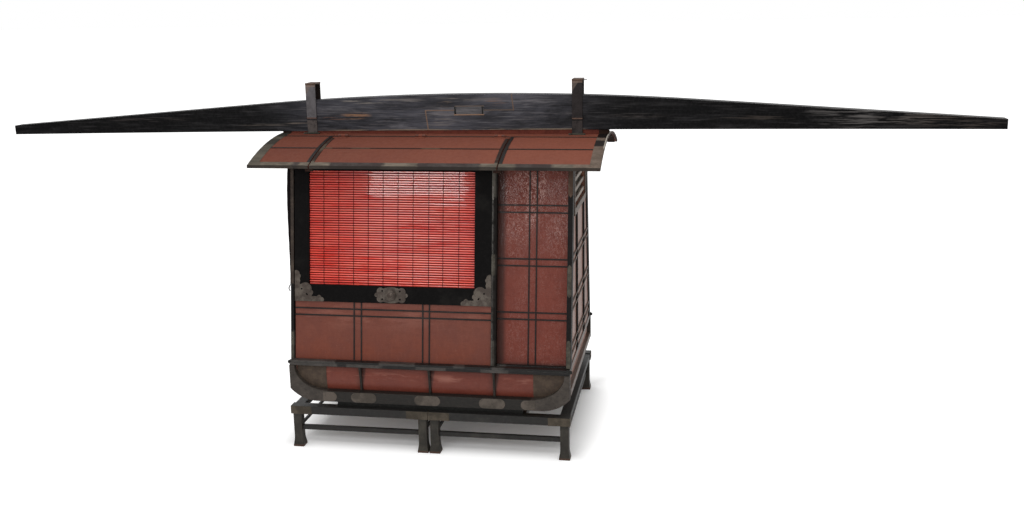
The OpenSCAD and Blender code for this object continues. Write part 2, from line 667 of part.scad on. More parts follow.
// iron hoops that hold the beam: [middle from the cabin's middle, top over the ridge]
hoops = [[-531, 195], [540.5, 207]];
hoop_w = 41;
strap_t = 3.5;
hoop_top_t = 5;
hoop_in = beam_t / 2 + 0.5;
foot_x = hoop_w / 2 + 12;
foot_out = 22;
foot_t = 4;
collar_z = ridge_z + 60;
collar_h = 8;
collar_t = 2;
module hoop(h) translate([cabin_x + h[0], 0, 0]) {
    x = [-hoop_w / 2, hoop_w / 2];
    top = ridge_z + h[1];
    both_sides() {
        block(x, [-hoop_in - strap_t, -hoop_in], [ridge_z, top]);
        block([-foot_x, foot_x], [-hoop_in - foot_out, -hoop_in - strap_t], [ridge_z, ridge_z + foot_t]);
        block(x - [2, -2], [-hoop_in - strap_t - collar_t, -hoop_in - strap_t],
            [collar_z, collar_z + collar_h]);
    }
    block(x, [-hoop_in - strap_t, hoop_in + strap_t], [top, top + hoop_top_t]);
}
module hoop_front() color("#3a3534") hoop(hoops[0]);
module hoop_rear() color("#3a3534") hoop(hoops[1]);

// board between the ridge and the beam, hollowed to the beam's underside
saddle_half_l = 600;
saddle_half_w = beam_t / 2 - 4;
module beam_saddle() color("#2a2722") prism_y(-saddle_half_w, saddle_half_w) polygon(concat(
    [for (s = [1, -1]) [cabin_x + s * saddle_half_l, ridge_z]],
    [for (i = [-10:10]) let (x = cabin_x + saddle_half_l * i / 10) [x, beam_under(x) - seat]]));

// Doors, modelled on the near side

module door_frame() in_cabin() {
    x = [door_x0, door_x0 + front_stile_w, door_x1 - edge_w - rear_stile_w, door_x1 - edge_w];
    d = [0, door_t];
    side_slab([x[0], x[1]], [rail_top, door_z1], d);
    side_slab([x[2], x[3]], [rail_top, door_z1], d);
    side_slab([x[0], x[3]], [rail_bot, rail_top], d);
    side_slab([x[1], x[2]], [blind_top, door_z1], d);
    side_slab([x[0], x[3]], [door_z1, door_z1 + top_tongue_h], [tongue_d, tongue_d + tongue_w]);
}
module door_frame_near() color("#141312") door_frame();
module door_frame_far() color("#141312") mirror([0, 1, 0]) door_frame();

door_board_d = 7;
module door_panel() in_cabin() {
    side_slab([door_x0, door_x1 - edge_w], [door_z0, rail_bot], [door_board_d, door_t]);
    side_slab([door_x0, door_x1 - edge_w], [door_z0 - tongue_h, door_z0], [tongue_d, tongue_d + tongue_w]);
}
module door_panel_near() color("#7a4534") door_panel();
module door_panel_far() color("#7a4534") mirror([0, 1, 0]) door_panel();

// battens on the doors' lower panels: level ones by height over the sill, upright ones by place along X
door_bars = [168, 194];
door_uprights = [-295, -266, -22, 4];
module door_battens() in_cabin() {
    for (h = door_bars) side_slab([door_x0, door_x1 - edge_w], [sill_top + h, sill_top + h + batten_w],
        [door_board_d - batten_p, door_board_d]);
    for (x = door_uprights) side_slab([x - batten_w / 2, x + batten_w / 2], [door_z0, rail_bot],
        [door_board_d - batten_p, door_board_d]);
}
module door_battens_near() color("#2c2a26") door_battens();
module door_battens_far() color("#2c2a26") mirror([0, 1, 0]) door_battens();

edge_p = 3;
module door_edge() in_cabin() side_slab([door_x1 - edge_w, door_x1], [door_z0, door_z1], [-edge_p, door_t]);
module door_edge_near() color("#3b3833") door_edge();
module door_edge_far() color("#3b3833") mirror([0, 1, 0]) door_edge();

// the blind stands square to the leaning wall, between the frame's level edges
blind_d = 12;
module door_blind() in_cabin() {
    x = [door_x0 + front_stile_w, door_x1 - edge_w - rear_stile_w];
    foot = blind_d * tan(lean);
    l = ((blind_top - rail_top) + (blind_d - slat_t) * sin(lean)) / cos(lean) - foot;
    n = floor(l / slat_pitch);
    on_wall(rail_top) translate([0, foot, -blind_d]) prism_x(x[0], x[1]) slats(n, l / n);
}
module door_blind_near() color("#d42f26") door_blind();
module door_blind_far() color("#d42f26") mirror([0, 1, 0]) door_blind();

// metal fittings on the doors' middle rail: a lobed knob plate and two cloud-shaped corner plates
knob_x = -146;
fitting_t = 1.5;
corner_w = 118;
module knob_plate() {
    scale([1.7, 1]) circle(rail_w / 2 - 1, $fn = 48);
    for (s = [-1, 1], t = [-1, 1]) translate([s * 42, t * 14]) circle(15, $fn = 24);
    for (s = [-1, 1]) translate([s * 58, 0]) circle(8, $fn = 24);
}
// lobes of a corner plate: [along the rail, up the stile, radius]
corner_lobes = [[6, 107, 13], [14, 98, 9.5], [12, 78, 10], [43, 48, 25], [64, 34, 10], [98, 17, 8.5],
    [108, 7, 10]];
module corner_plate() intersection() {
    square([corner_w, corner_w + 2]);
    union() {
        square([20, 104]);
        square([44, 66]);
        square([68, 36]);
        square([92, 20]);
        square([108, 10]);
        for (p = corner_lobes) translate([p[0], p[1]]) circle(p[2], $fn = 24);
    }
}
knob = [[0, 0], [11, 0], [13, 4], [19, 7], [21, 11], [19, 14], [12, 18], [6, 19.5], [0, 20]];
module door_fittings() in_cabin() on_wall(rail_bot) {
    translate([knob_x, rail_w / 2, 0]) linear_extrude(fitting_t) knob_plate();
    translate([knob_x, rail_w / 2, fitting_t]) rotate_extrude($fn = 48) polygon(knob);
    translate([door_x0, 0, 0]) linear_extrude(fitting_t) corner_plate();
    translate([door_x1 - edge_w, 0, 0]) mirror([1, 0, 0]) linear_extrude(fitting_t) corner_plate();
}
module door_fittings_near() color("#5a5248") door_fittings();
module door_fittings_far() color("#5a5248") mirror([0, 1, 0]) door_fittings();

trestle_top_rails();
trestle_cross_rails();
trestle_legs();
trestle_stretchers();
trestle_side_stretchers();
trestle_caps();
runner_strips();
bottom_rail_near();
bottom_rail_far();
bottom_end_rails();
floor_board();
skirt_near();
skirt_far();
skirt_ends();
skirt_ribs();
corner_fans();
rail_plates();
sill_rails();
end_sills();
corner_posts();
side_panels();
side_battens();
end_wall_front();
end_wall_rear();
end_battens();
window_bars();
front_blind();
headers();
rafters();
ridge_purlin();
hinge_purlins();
roof_shell();
roof_rim();
roof_battens();
roof_hinges();
flap_near();
flap_far();
flap_battens_near();
flap_battens_far();
hoop_front();
hoop_rear();
beam_saddle();
beam_front();
beam_rear();
beam_key();
door_frame_near();
door_frame_far();
door_panel_near();
door_panel_far();
door_battens_near();
door_battens_far();
door_edge_near();
door_edge_far();
door_blind_near();
door_blind_far();
door_fittings_near();
door_fittings_far();
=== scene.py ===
"""Looks of the lacquered palanquin on its trestles. Metres, in the row's frame."""
import random
from math import atan, cos, hypot, pi, radians, sin, sqrt, tan

import bmesh
import bpy
from mathutils import Matrix, Vector


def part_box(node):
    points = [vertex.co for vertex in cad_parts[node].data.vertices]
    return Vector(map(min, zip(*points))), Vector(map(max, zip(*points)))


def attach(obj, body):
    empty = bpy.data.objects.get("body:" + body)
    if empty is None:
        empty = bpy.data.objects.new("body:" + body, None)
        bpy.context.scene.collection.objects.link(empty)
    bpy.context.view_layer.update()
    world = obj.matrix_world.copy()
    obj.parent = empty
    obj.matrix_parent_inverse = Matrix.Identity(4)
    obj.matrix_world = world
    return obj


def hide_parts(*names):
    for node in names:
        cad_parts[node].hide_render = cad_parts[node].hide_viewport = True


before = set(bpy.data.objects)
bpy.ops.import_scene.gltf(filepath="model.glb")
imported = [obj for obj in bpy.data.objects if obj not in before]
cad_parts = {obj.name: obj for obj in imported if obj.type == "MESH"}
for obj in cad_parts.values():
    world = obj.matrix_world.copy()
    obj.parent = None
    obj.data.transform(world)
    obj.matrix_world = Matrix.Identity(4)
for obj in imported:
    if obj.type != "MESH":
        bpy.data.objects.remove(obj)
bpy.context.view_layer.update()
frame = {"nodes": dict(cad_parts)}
nodes = frame["nodes"]
rng = random.Random(7)

# Studio levels: the world in diffuse light, the front and ceiling in reflections, and the floor's own glow
DIFFUSE_LEVEL = 0.72
FRONT_LEVEL = 0.1
CEILING_LEVEL = 0.28
FLOOR_GLOW = 0.05

# The camera fitted to the photograph, and the lamps: name, place, aim, size and watts
CAMERA_AT = (0.87788, -4.24854, 1.72777)
YAW, PITCH, ROLL = 0.171936, 0.233191, -0.017946
LENS = 38.53
LAMPS = (("key_softbox", (-1.03, -3.5, 1.92), (-1.03, 0, 1.92), (0.68, 0.96), 15.4),
         ("panel_softbox", (-0.28, -3.5, 1.8), (-0.28, 0, 1.8), (0.3, 0.7), 8.0),
         ("overhead", (-0.2, -0.4, 3.6), (-0.2, 0, 0), (3.2, 2.4), 24.0),
         ("front_strip", (-0.3, -2.7, 3.1), (-0.2, 0, 0.8), (2.6, 0.45), 16.0))

# Sizes repeated from the part, in metres
CAB_X = -0.13
SILL_TOP = 0.3545
EAVE_Z = 1.1095
WALL_FOOT = 0.374
WALL_SLOPE = 0.1266 / 0.755
LEAN = atan(WALL_SLOPE)
SIN_L, COS_L = sin(LEAN), cos(LEAN)
RAIL_Y = 0.4
HALF_L = 0.55
ROOF_R = 1.1
RIDGE_Z = 1.1185 - sqrt(ROOF_R ** 2 - 0.4 ** 2) + ROOF_R
ROOF_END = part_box("roof_rim")[1][0]
RAIL_BOT, RAIL_TOP = SILL_TOP + 0.224, SILL_TOP + 0.288
BLIND_X = (-0.476, 0.179)
BLIND_TOP = EAVE_Z - 0.0305
DOOR_X = (-0.533, 0.245)
RIBS = (-0.268, 0.006, 0.258)
BEAM_Z, BEAM_TILT = RIDGE_Z + 0.015, radians(0.48)
HOOPS = {"front": (-0.531, 0.195), "rear": (0.5405, 0.207)}

# The blinds' own sizes
SLATS = 48
REEDS = 74
CORDS = (-0.417, -0.357, -0.299, -0.241, -0.182, -0.122, -0.063, -0.002, 0.056, 0.116)
SLAT_N = -0.0092


# Node materials

class Value:
    """A node's output that takes part in sums: each operator adds a math node."""

    def __init__(self, nodes, socket):
        self.nodes, self.socket = nodes, socket

    def __abs__(self):
        return self.nodes.math("ABSOLUTE", self)

    def __add__(self, other):
        return self.nodes.math("ADD", self, other)

    def __sub__(self, other):
        return self.nodes.math("SUBTRACT", self, other)

    def __rsub__(self, other):
        return self.nodes.math("SUBTRACT", other, self)

    def __mul__(self, other):
        return self.nodes.math("MULTIPLY", self, other)

    def __truediv__(self, other):
        return self.nodes.math("DIVIDE", self, other)

    def __mod__(self, other):
        return self.nodes.math("MODULO", self, other)


class Nodes:
    """Shorthand for building a tree of shader nodes."""

    def __init__(self, tree):
        self.tree = tree

    def feed(self, socket, value):
        if isinstance(value, Value):
            self.tree.links.new(value.socket, socket)
        elif isinstance(value, tuple) and len(value) < len(socket.default_value):
            socket.default_value = (*value, 1)
        else:
            socket.default_value = value

    def node(self, kind, inputs=(), out=0, **props):
        """Output of a new node, after its inputs are fed by number or name."""
        node = self.tree.nodes.new("ShaderNode" + kind)
        for key, value in props.items():
            setattr(node, key, value)
        for key, value in inputs:
            self.feed(node.inputs[key], value)
        return Value(self, node.outputs[out])

    def ray(self, kind):
        return self.node("LightPath", out=kind)

    def math(self, op, a, b=0.0, clamp=False):
        return self.node("Math", ((0, a), (1, b)), operation=op, use_clamp=clamp)

    def most(self, a, b):
        return self.math("MAXIMUM", a, b)

    def axes(self, vec):
        first = self.node("SeparateXYZ", ((0, vec),))
        return [Value(self, out) for out in first.socket.node.outputs]

    def mask(self, value, low, high, start=0.0, end=1.0):
        """Smooth step from start, at low and below, to end, at high and above."""
        return self.node("MapRange", enumerate((value, low, high, start, end)), interpolation_type="SMOOTHSTEP")

    def fade(self, value, start, end):
        """1 at start, falling to 0 at end."""
        return 1 - self.mask(value, start, end) if end > start else self.mask(value, end, start)

    def lerp(self, fac, a, b):
        return self.node("Mix", ((0, fac), (2, a), (3, b)), data_type="FLOAT")


class Mat(Nodes):
    """A node material around the Principled shader, patterned in the object's own frame."""

    def __init__(self, name):
        self.mat = bpy.data.materials.new(name)
        self.mat.use_nodes = True
        super().__init__(self.mat.node_tree)
        self.bsdf = self.tree.nodes["Principled BSDF"]
        self.obj = self.node("TexCoord", out="Object")
        self.x, self.y, self.z = self.xyz = self.axes(self.obj)

    def stretch(self, *scale):
        return self.node("VectorMath", ((0, self.obj), (1, scale)), operation="MULTIPLY")

    def noise(self, scale, detail, rough, vec=None, distort=0.0):
        return self.node("TexNoise", (("Vector", vec or self.obj), ("Scale", scale), ("Detail", detail),
                                      ("Roughness", rough), ("Distortion", distort)))

    def mix(self, fac, a, b):
        return self.node("Mix", ((0, fac), (6, a), (7, b)), 2, data_type="RGBA")

    def bump(self, height, distance, strength, normal=None):
        inputs = [("Distance", distance), ("Strength", strength), ("Height", height)]
        return self.node("Bump", inputs + [("Normal", normal)] * (normal is not None))

    def rounded(self, radius):
        return self.node("Bevel", (("Radius", radius),), samples=4)

    def edges(self, radius):
        """Mask of the edges within a radius, from how far a rounded normal leaves the face's own."""
        own = self.node("NewGeometry", out="Normal")
        dot = self.node("VectorMath", ((0, self.rounded(radius)), (1, own)), "Value",
                        operation="DOT_PRODUCT")
        return self.mask(1 - dot, 0.02, 0.25)

    def lay(self, mask, tone):
        """Lays a tone over the colour so far, where the mask is 1."""
        self.colour = self.mix(mask, self.colour, tone)

    def finish(self, rough, normal=None, spec=0.5, **others):
        inputs = {"Base Color": self.colour, "Roughness": rough, "Specular IOR Level": spec}
        if normal is not None:
            inputs["Normal"] = normal
        inputs.update((key.replace("_", " "), value) for key, value in others.items())
        for key, value in inputs.items():
            self.feed(self.bsdf.inputs[key], value)
        return self.mat


def srgb(r, g, b):
    return tuple((c / 255 / 12.92) if c < 10.3 else ((c / 255 + 0.055) / 1.055) ** 2.4 for c in (r, g, b))


def tint(base, *factors):
    """A colour times one factor, or times one for each channel."""
    return tuple(min(1, c * k) for c, k in zip(base, factors if len(factors) > 1 else factors * 3))


def weave(m, u, v, pitch):
    """Height of a fine twill: strips that pass over two and under two."""
    a, b = u / pitch, v / pitch
    cell = (m.math("FLOOR", a + 4000) + m.math("FLOOR", b + 4000)) % 4
    over = m.math("GREATER_THAN", cell, 1.5)
    across = 1 - abs(m.math("FRACT", a) - 0.5)
    along = 1 - abs(m.math("FRACT", b) - 0.5)
    return m.lerp(over, across, along)


def spans(m, x, pairs, ragged=0.0, soft=0.004):
    """Mask that is 1 between each pair of places along an axis, with ragged ends."""
    if ragged:
        x = x + (m.noise(38, 4, 0.7) - 0.5) * ragged
    total = 0
    for a, b in pairs:
        inside = m.mask(x, a - soft, a + soft) * m.fade(x, b - soft, b + soft)
        total = m.most(total, inside)
    return total


def red_lacquer(name, base, axes=(0, 2), pitch=0.0042, spec=0.3, rough=0.42, crinkle=False, warm_foot=False,
                shade_and_dark_ends=None, drift=False, painted_gleam=None):
    """Satin red-brown lacquer over a fine woven ground.

    A darkening mask lays painted shade in corners and recesses, and darkens the roof's cut ends; a pale level band
    is a painted highlight: its foot, its top and its strength.
    drift makes it paler towards the rear; crinkle adds wrinkles under a clear coat, whose tops catch the light and
    also carry painted highlights.
    """
    m = Mat(name)
    cloud = m.noise(3.2, 5, 0.6)
    fine = m.noise(46, 5, 0.7)
    speck = m.noise(420, 2, 0.6)
    woven = weave(m, m.xyz[axes[0]], m.xyz[axes[1]], pitch)
    threads = m.noise(160, 3, 0.6, m.stretch(0.16, 0.16, 1))
    m.colour = m.mix(m.mask(cloud, 0.35, 0.7), base, tint(base, 1, 1.12, 1.2))
    if warm_foot:
        foot = m.fade(m.z + cloud * 0.1, 0.4, 0.54)
        m.lay(foot * 0.75, tint(base, 1.06, 0.84, 0.6))
    m.lay(m.mask(fine, 0.42, 0.75) * 0.42, tint(base, 0.7, 0.64, 0.66))
    m.lay(m.mask(m.noise(8.5, 5, 0.66), 0.42, 0.66) * 0.6, tint(base, 0.82, 0.86, 0.98))
    m.lay(m.mask(threads, 0.5, 0.75) * 0.4, tint(base, 0.7))
    wefts = m.noise(150, 3, 0.6, m.stretch(1, 0.16, 0.16))
    m.lay(m.mask(wefts, 0.5, 0.72) * 0.3, tint(base, 1.25))
    m.lay(m.mask(speck, 0.62, 0.75) * 0.22, (0.42, 0.24, 0.2))
    if drift:
        along_x = m.mask(m.x - CAB_X, -0.75, 0.75)
        m.lay((1 - along_x) * 0.5, tint(base, 0.6, 0.55, 0.55))
        m.lay(along_x * 0.3, tint(base, 1.5, 1.6, 1.6))
    # Painted shade in the corners and recesses of walls and skirts; on the roof it darkens the cut ends
    if shade_and_dark_ends is not None:
        m.lay(shade_and_dark_ends(m), srgb(44, 26, 21))
    # A painted highlight: a pale level band, uneven along its length
    if painted_gleam:
        low, high, amount = painted_gleam
        middle = (low + high) / 2
        shape = m.mask(m.z, low, middle) * m.fade(m.z, middle, high)
        uneven = m.mask(m.noise(16, 4, 0.65, m.stretch(0.35, 1, 1.6)), 0.45, 0.62)
        m.lay(shape * uneven * amount, srgb(158, 106, 92))
    height = woven * 0.4 + fine * 0.8
    normal = m.bump(height, 0.0006, 0.6)
    shine = m.lerp(m.mask(fine, 0.35, 0.7), rough, rough + 0.14)
    if crinkle:
        wave = m.noise(120, 4, 0.62, m.stretch(1, 1, 0.7), 1.2)
        sag = m.noise(9, 2, 0.5, m.stretch(1.6, 1, 0.4))
        high = m.mask(m.z, 0.7, 1.06)
        patches = m.mask(m.noise(11, 4, 0.6, m.stretch(1.3, 1, 0.5)), 0.42, 0.6)
        folds = m.noise(62, 3, 0.55, m.stretch(1, 1, 0.8), 1.6)
        # Painted highlights along the wrinkles' tops, strongest high on the panel and kept off the shaded strip by
        # the door's edge
        line = m.fade(abs(folds - 0.5), 0.01, 0.04)
        painted_crest_glint = line * (m.lerp(high, 0.15, 1) * m.lerp(patches, 0.25, 1))
        painted_crest_glint = painted_crest_glint * m.mask(m.x - CAB_X, 0.284, 0.312)
        m.lay(painted_crest_glint * 0.6, srgb(212, 176, 166))
        normal = m.bump(wave + sag * 2, 0.0034, m.lerp(high, 0.3, 1), normal)
        wet = m.lerp(high, 0.12, 1) * m.lerp(m.mask(m.noise(11, 3, 0.6), 0.4, 0.6), 0.35, 1)
        return m.finish(shine, normal, spec=spec, Coat_Weight=wet, Coat_Roughness=0.12, Coat_Normal=normal)
    return m.finish(shine, normal, spec=spec)


def panel_painted_shade(m):
    """Painted shade beside the door's edge and along the sill, on the recessed rear panels."""
    x = m.x - CAB_X
    side = m.fade(x, 0.28, 0.302) * 0.75
    foot = m.fade(m.z, SILL_TOP, SILL_TOP + 0.012) * 0.6
    return m.most(side, foot)


def roof_ends(m):
    """The cut ends of the roof's shell are dark."""
    return m.mask(abs(m.x - CAB_X), 0.657, 0.658) * 0.9


def skirt_painted_shade(m):
    """Painted shade under the sill, at the foot and to the rear of each rib, on the skirts."""
    x = m.x - CAB_X
    low = SILL_TOP - 0.1205
    total = m.fade(m.z, SILL_TOP - 0.02, SILL_TOP - 0.036) * 0.75
    total = m.most(total, m.fade(m.z, low, low + 0.006) * 0.5)
    height = m.mask(m.z, low, SILL_TOP - 0.02) * 0.014
    for rib in RIBS:
        off = x - rib - height
        beside = m.fade(off, 0.001, 0.01) * m.mask(x, rib - 0.004, rib + 0.002)
        total = m.most(total, beside * 0.75)
        before = m.mask(x, rib - 0.03, rib - 0.004) * m.fade(x, rib, rib + 0.004)
        total = m.most(total, before * 0.3)
    return total


def black_lacquer(name, base=(0.013, 0.013, 0.012), wear=0.55, worn=(0.16, 0.15, 0.13), rough=0.42, spec=0.15,
                  radius=0.0018):
    """Black lacquer, rubbed to grey along its edges and in soft patches."""
    m = Mat(name)
    cloud = m.noise(7, 6, 0.62)
    fine = m.noise(90, 4, 0.65)
    edge = m.edges(radius) * m.mask(m.noise(24, 3, 0.6), 0.35, 0.62)
    patch = m.mask(cloud, 0.55, 0.72) * 0.35
    wearing = m.math("MULTIPLY", m.most(edge, patch), wear, clamp=True)
    m.colour = m.mix(m.mask(fine, 0.4, 0.75), base, tint(base, 1.7))
    m.lay(wearing, worn)
    normal = m.bump(fine, 0.0005, 0.35, m.rounded(radius * 0.7))
    return m.finish(m.lerp(m.mask(fine, 0.3, 0.7), rough, rough + 0.14), normal, spec=spec)


def sheet_metal(name, base, other, scale=16.0, rough=0.5, metal=0.2, spec=0.25):
    """Old sheet metal, mottled between two colours, with pits and paler edges."""
    base, other = srgb(*base), srgb(*other)
    m = Mat(name)
    cloud = m.noise(scale, 6, 0.65)
    pits = m.noise(260, 3, 0.7)
    m.colour = m.mix(m.mask(cloud, 0.42, 0.6), base, other)
    m.lay(m.mask(pits, 0.56, 0.7) * 0.5, tint(base, 0.45))
    m.lay(m.edges(0.0012) * 0.4, tuple(min(1, c * 1.7 + 0.01) for c in other))
    normal = m.bump(cloud * 2 + pits, 0.0004, 0.5, m.rounded(0.0012 * 0.6))
    return m.finish(m.lerp(m.mask(cloud, 0.4, 0.65), rough, rough + 0.15), normal, Metallic=metal, spec=spec)


def rim_material(name):
    """The eaves' metal: dark lacquer with paler patches where it is worn to the sheet."""
    m = Mat(name)
    x = m.x - CAB_X
    pale = spans(m, x, ((-0.7, -0.485), (-0.462, -0.345), (-0.138, -0.01), (0.226, 0.356), (0.49, 0.575)),
                 0.05, 0.008)
    cloud = m.noise(22, 6, 0.7)
    streak = m.noise(60, 4, 0.6, m.stretch(0.25, 1, 1))
    dark = m.mix(m.mask(cloud, 0.4, 0.65), srgb(58, 49, 47), srgb(72, 66, 63))
    light = m.mix(m.mask(streak, 0.38, 0.66), srgb(86, 79, 70), srgb(116, 106, 94))
    m.colour = m.mix(pale, dark, light)
    ridge = m.mask(m.z, 1.1895, 1.1905)
    band = m.mask(m.z, 1.1725, 1.174) * m.fade(m.z, 1.1845, 1.1855)
    end = m.mask(abs(x), 0.6, 0.61)
    m.lay(end * (band * 0.85), srgb(40, 36, 35))
    m.lay(end * (ridge * 0.95), srgb(26, 21, 20))
    rear = m.mask(x, 0.56, 0.57) * (1 - m.most(band, ridge))
    fore = m.fade(x, -0.62, -0.6) * 0.55
    m.lay(fore, srgb(62, 60, 53))
    m.lay(rear * 0.8, m.mix(m.mask(cloud, 0.4, 0.62), srgb(100, 86, 75), srgb(122, 106, 94)))
    # Painted highlight: a pale line along the rim's rear edge
    brim_highlight = m.mask(m.x, ROOF_END - 0.0048, ROOF_END - 0.004) * m.mask(m.z, 1.165, 1.172)
    m.lay(brim_highlight * 0.85, srgb(186, 178, 166))
    # Painted shade along the rim's lowest edge
    side = m.fade(m.z, EAVE_Z + 0.01, EAVE_Z + 0.012)
    m.lay(side * 0.85, srgb(42, 37, 34))
    strips = m.fade(abs(m.y), 0.368, 0.374) * m.fade(abs(x), 0.6, 0.605)
    olive = m.mask(m.noise(9, 3, 0.6), 0.52, 0.6) * 0.7
    m.lay(strips, m.mix(olive, srgb(50, 38, 34), srgb(84, 76, 64)))
    normal = m.bump(cloud + streak, 0.0008, 0.5)
    return m.finish(m.lerp(pale, 0.5, 0.62), normal, spec=0.12)


def along(m, u, v, a, b, width):
    """Mask of a thin line from a to b, in the plane of u and v."""
    (ax, ay), (bx, by) = a, b
    length = hypot(bx - ax, by - ay)
    dx, dy = (bx - ax) / length, (by - ay) / length
    pu, pv = u - ax, v - ay
    t = pu * dx + pv * dy
    t = m.math("MINIMUM", m.most(t, 0), length)
    du, dv = pu - t * dx, pv - t * dy
    gap = m.math("SQRT", du * du + dv * dv)
    return m.fade(gap, width * 0.5, width * 1.3)


# Worn places on the beam's side, the last two a painted sheen towards its rear end: middle along it, height over
# its foot, half length and height, tone, strength
SCUFFS_AND_SHEEN = ((-0.479, 0.06, 0.06, 0.013, (146, 108, 80), 0.9), (-0.56, 0.052, 0.05, 0.008, (128, 92, 72), 0.6),
          (-0.436, 0.117, 0.085, 0.01, (150, 142, 132), 0.6), (-0.3, 0.118, 0.1, 0.009, (120, 114, 108), 0.5),
          (-0.137, 0.042, 0.065, 0.028, (118, 110, 106), 0.7), (-0.111, 0.101, 0.032, 0.011, (158, 134, 108), 0.8),
          (0.09, 0.106, 0.04, 0.016, (112, 84, 66), 0.6), (0.06, 0.072, 0.02, 0.005, (150, 112, 84), 0.6),
          (-0.02, 0.122, 0.12, 0.007, (128, 120, 112), 0.45), (-0.85, 0.024, 0.12, 0.006, (92, 84, 78), 0.5),
          (-0.72, 0.03, 0.06, 0.004, (120, 108, 98), 0.5), (0.62, 0.05, 0.12, 0.01, (74, 68, 66), 0.5),
          (1.05, 0.04, 0.16, 0.008, (70, 62, 56), 0.5), (-1.35, 0.05, 0.2, 0.008, (60, 54, 52), 0.5),
          (1.52, 0.055, 0.22, 0.06, (104, 100, 98), 0.7), (1.8, 0.035, 0.24, 0.05, (80, 72, 67), 0.7))

# The scarf's seams on the beam's side: both ends of each, placed as in the table above, and its tone
SEAMS = (((-0.191, 0.0775), (-0.075, 0.0775), (126, 104, 88)),
         ((0.043, 0.0775), (0.162, 0.0775), (96, 82, 72)), ((-0.191, 0.077), (-0.182, 0), (128, 102, 84)),
         ((0.162, 0.077), (0.1546, 0.14), (112, 92, 78)), ((-0.075, 0.06), (0.043, 0.06), (134, 104, 82)),
         ((-0.07, 0.0935), (0.043, 0.0935), (96, 84, 76)))


def beam_material(name):
    """Black lacquer with lengthwise scuffs and a painted blue-grey reflection over its middle, where the scuffs
    are also strongest; the scarf's seams show as brown lines.
    """
    m = Mat(name)
    up = m.z - BEAM_Z
    u = m.x * cos(BEAM_TILT) + up * sin(BEAM_TILT)
    v = up * cos(BEAM_TILT) - m.x * sin(BEAM_TILT)
    broad = m.noise(9, 6, 0.72, m.stretch(0.2, 1, 1), 0.6)
    scuff = m.noise(34, 6, 0.72, m.stretch(0.09, 1, 1), 0.4)
    thin = m.noise(190, 4, 0.65, m.stretch(0.04, 1, 1))
    fine = m.noise(130, 3, 0.6)
    # Painted reflection: a blue-grey sheen over the beam's middle, where the scuffs are also made strongest
    middle = m.mask(u, -0.95, -0.3) * m.fade(u, 0.1, 0.62)
    painted_sheen = middle * m.lerp(m.mask(broad, 0.3, 0.7), 0.15, 1)
    m.colour = m.mix(m.mask(fine, 0.4, 0.7), (0.0042, 0.004, 0.0042), (0.009, 0.0085, 0.009))
    m.lay(painted_sheen * 0.9, srgb(88, 88, 96))
    grey = m.mask(scuff, 0.5, 0.72) * m.lerp(middle, 0.1, 1)
    m.lay(grey * 0.65, srgb(128, 124, 126))
    lines = m.mask(thin, 0.53, 0.7) * m.lerp(middle, 0.2, 1)
    m.lay(lines * 0.5, srgb(116, 112, 114))
    black = m.mask(m.noise(150, 3, 0.6, m.stretch(0.05, 1, 1), 0.3), 0.52, 0.68)
    m.lay(black * 0.55, (0.006, 0.006, 0.007))
    ragged = (scuff - 0.5) * 2.6
    for cx, cz, rx, rz, tone, power in SCUFFS_AND_SHEEN:
        dx, dz = (u - cx) / rx, (v - cz) / rz
        near = dx * dx + dz * dz + ragged
        blot = m.fade(near, 0, 1.6) * m.mask(thin, 0.46, 0.6)
        m.lay(blot * power, srgb(*tone))
    edge = m.edges(0.004) * m.mask(scuff, 0.42, 0.62)
    m.lay(edge * m.lerp(middle, 0.12, 0.6), srgb(140, 132, 124))
    foot = m.fade(v, 0.002, 0.006) * m.mask(scuff, 0.4, 0.5)
    foot = foot * (m.mask(u, -0.62, -0.5) * m.fade(u, 0.4, 0.46))
    m.lay(foot * 0.8, srgb(132, 116, 98))
    worn = m.mask(scuff, 0.28, 0.44) * 0.95
    for a, b, tone in SEAMS:
        m.lay(along(m, u, v, a, b, 0.0022) * worn, srgb(*tone))
    normal = m.bump(scuff + thin, 0.0006, 0.5, m.rounded(0.002))
    return m.finish(m.lerp(grey, 0.42, 0.62), normal, spec=0.1)


def key_material(name):
    m = Mat(name)
    scuff = m.noise(60, 5, 0.7, m.stretch(0.15, 1, 1))
    thin = m.noise(190, 4, 0.65, m.stretch(0.04, 1, 1))
    m.colour = m.mix(m.mask(scuff, 0.35, 0.65), srgb(66, 65, 68), srgb(98, 96, 98))
    m.lay(m.mask(thin, 0.5, 0.7) * 0.5, srgb(44, 42, 44))
    m.lay(m.edges(0.002) * 0.5, srgb(120, 112, 106))
    return m.finish(0.5, m.bump(scuff, 0.0005, 0.5), spec=0.15)


def post_material(name):
    """Black corner posts; the front ones are brown-grey above and greenish grey at the foot."""
    m = Mat(name)
    cloud = m.noise(24, 5, 0.65)
    fine = m.noise(150, 4, 0.7)
    m.colour = m.mix(m.mask(fine, 0.4, 0.75), (0.01, 0.009, 0.009), (0.017, 0.015, 0.014))
    front = m.fade(m.x - CAB_X, -0.5, -0.45)
    z = m.z + (cloud - 0.5) * 0.04
    high = front * m.mask(z, 0.64, 0.65)
    low = front * m.fade(z, 0.455, 0.462)
    m.lay(high * 0.85, m.mix(m.mask(cloud, 0.4, 0.62), srgb(60, 51, 46), srgb(78, 68, 60)))
    m.lay(low * 0.85, m.mix(m.mask(cloud, 0.4, 0.62), srgb(62, 60, 54), srgb(86, 84, 76)))
    m.lay(m.edges(0.0018) * 0.3, (0.1, 0.09, 0.08))
    normal = m.bump(fine, 0.0005, 0.4, m.rounded(0.0014))
    return m.finish(0.52, normal, spec=0.1)


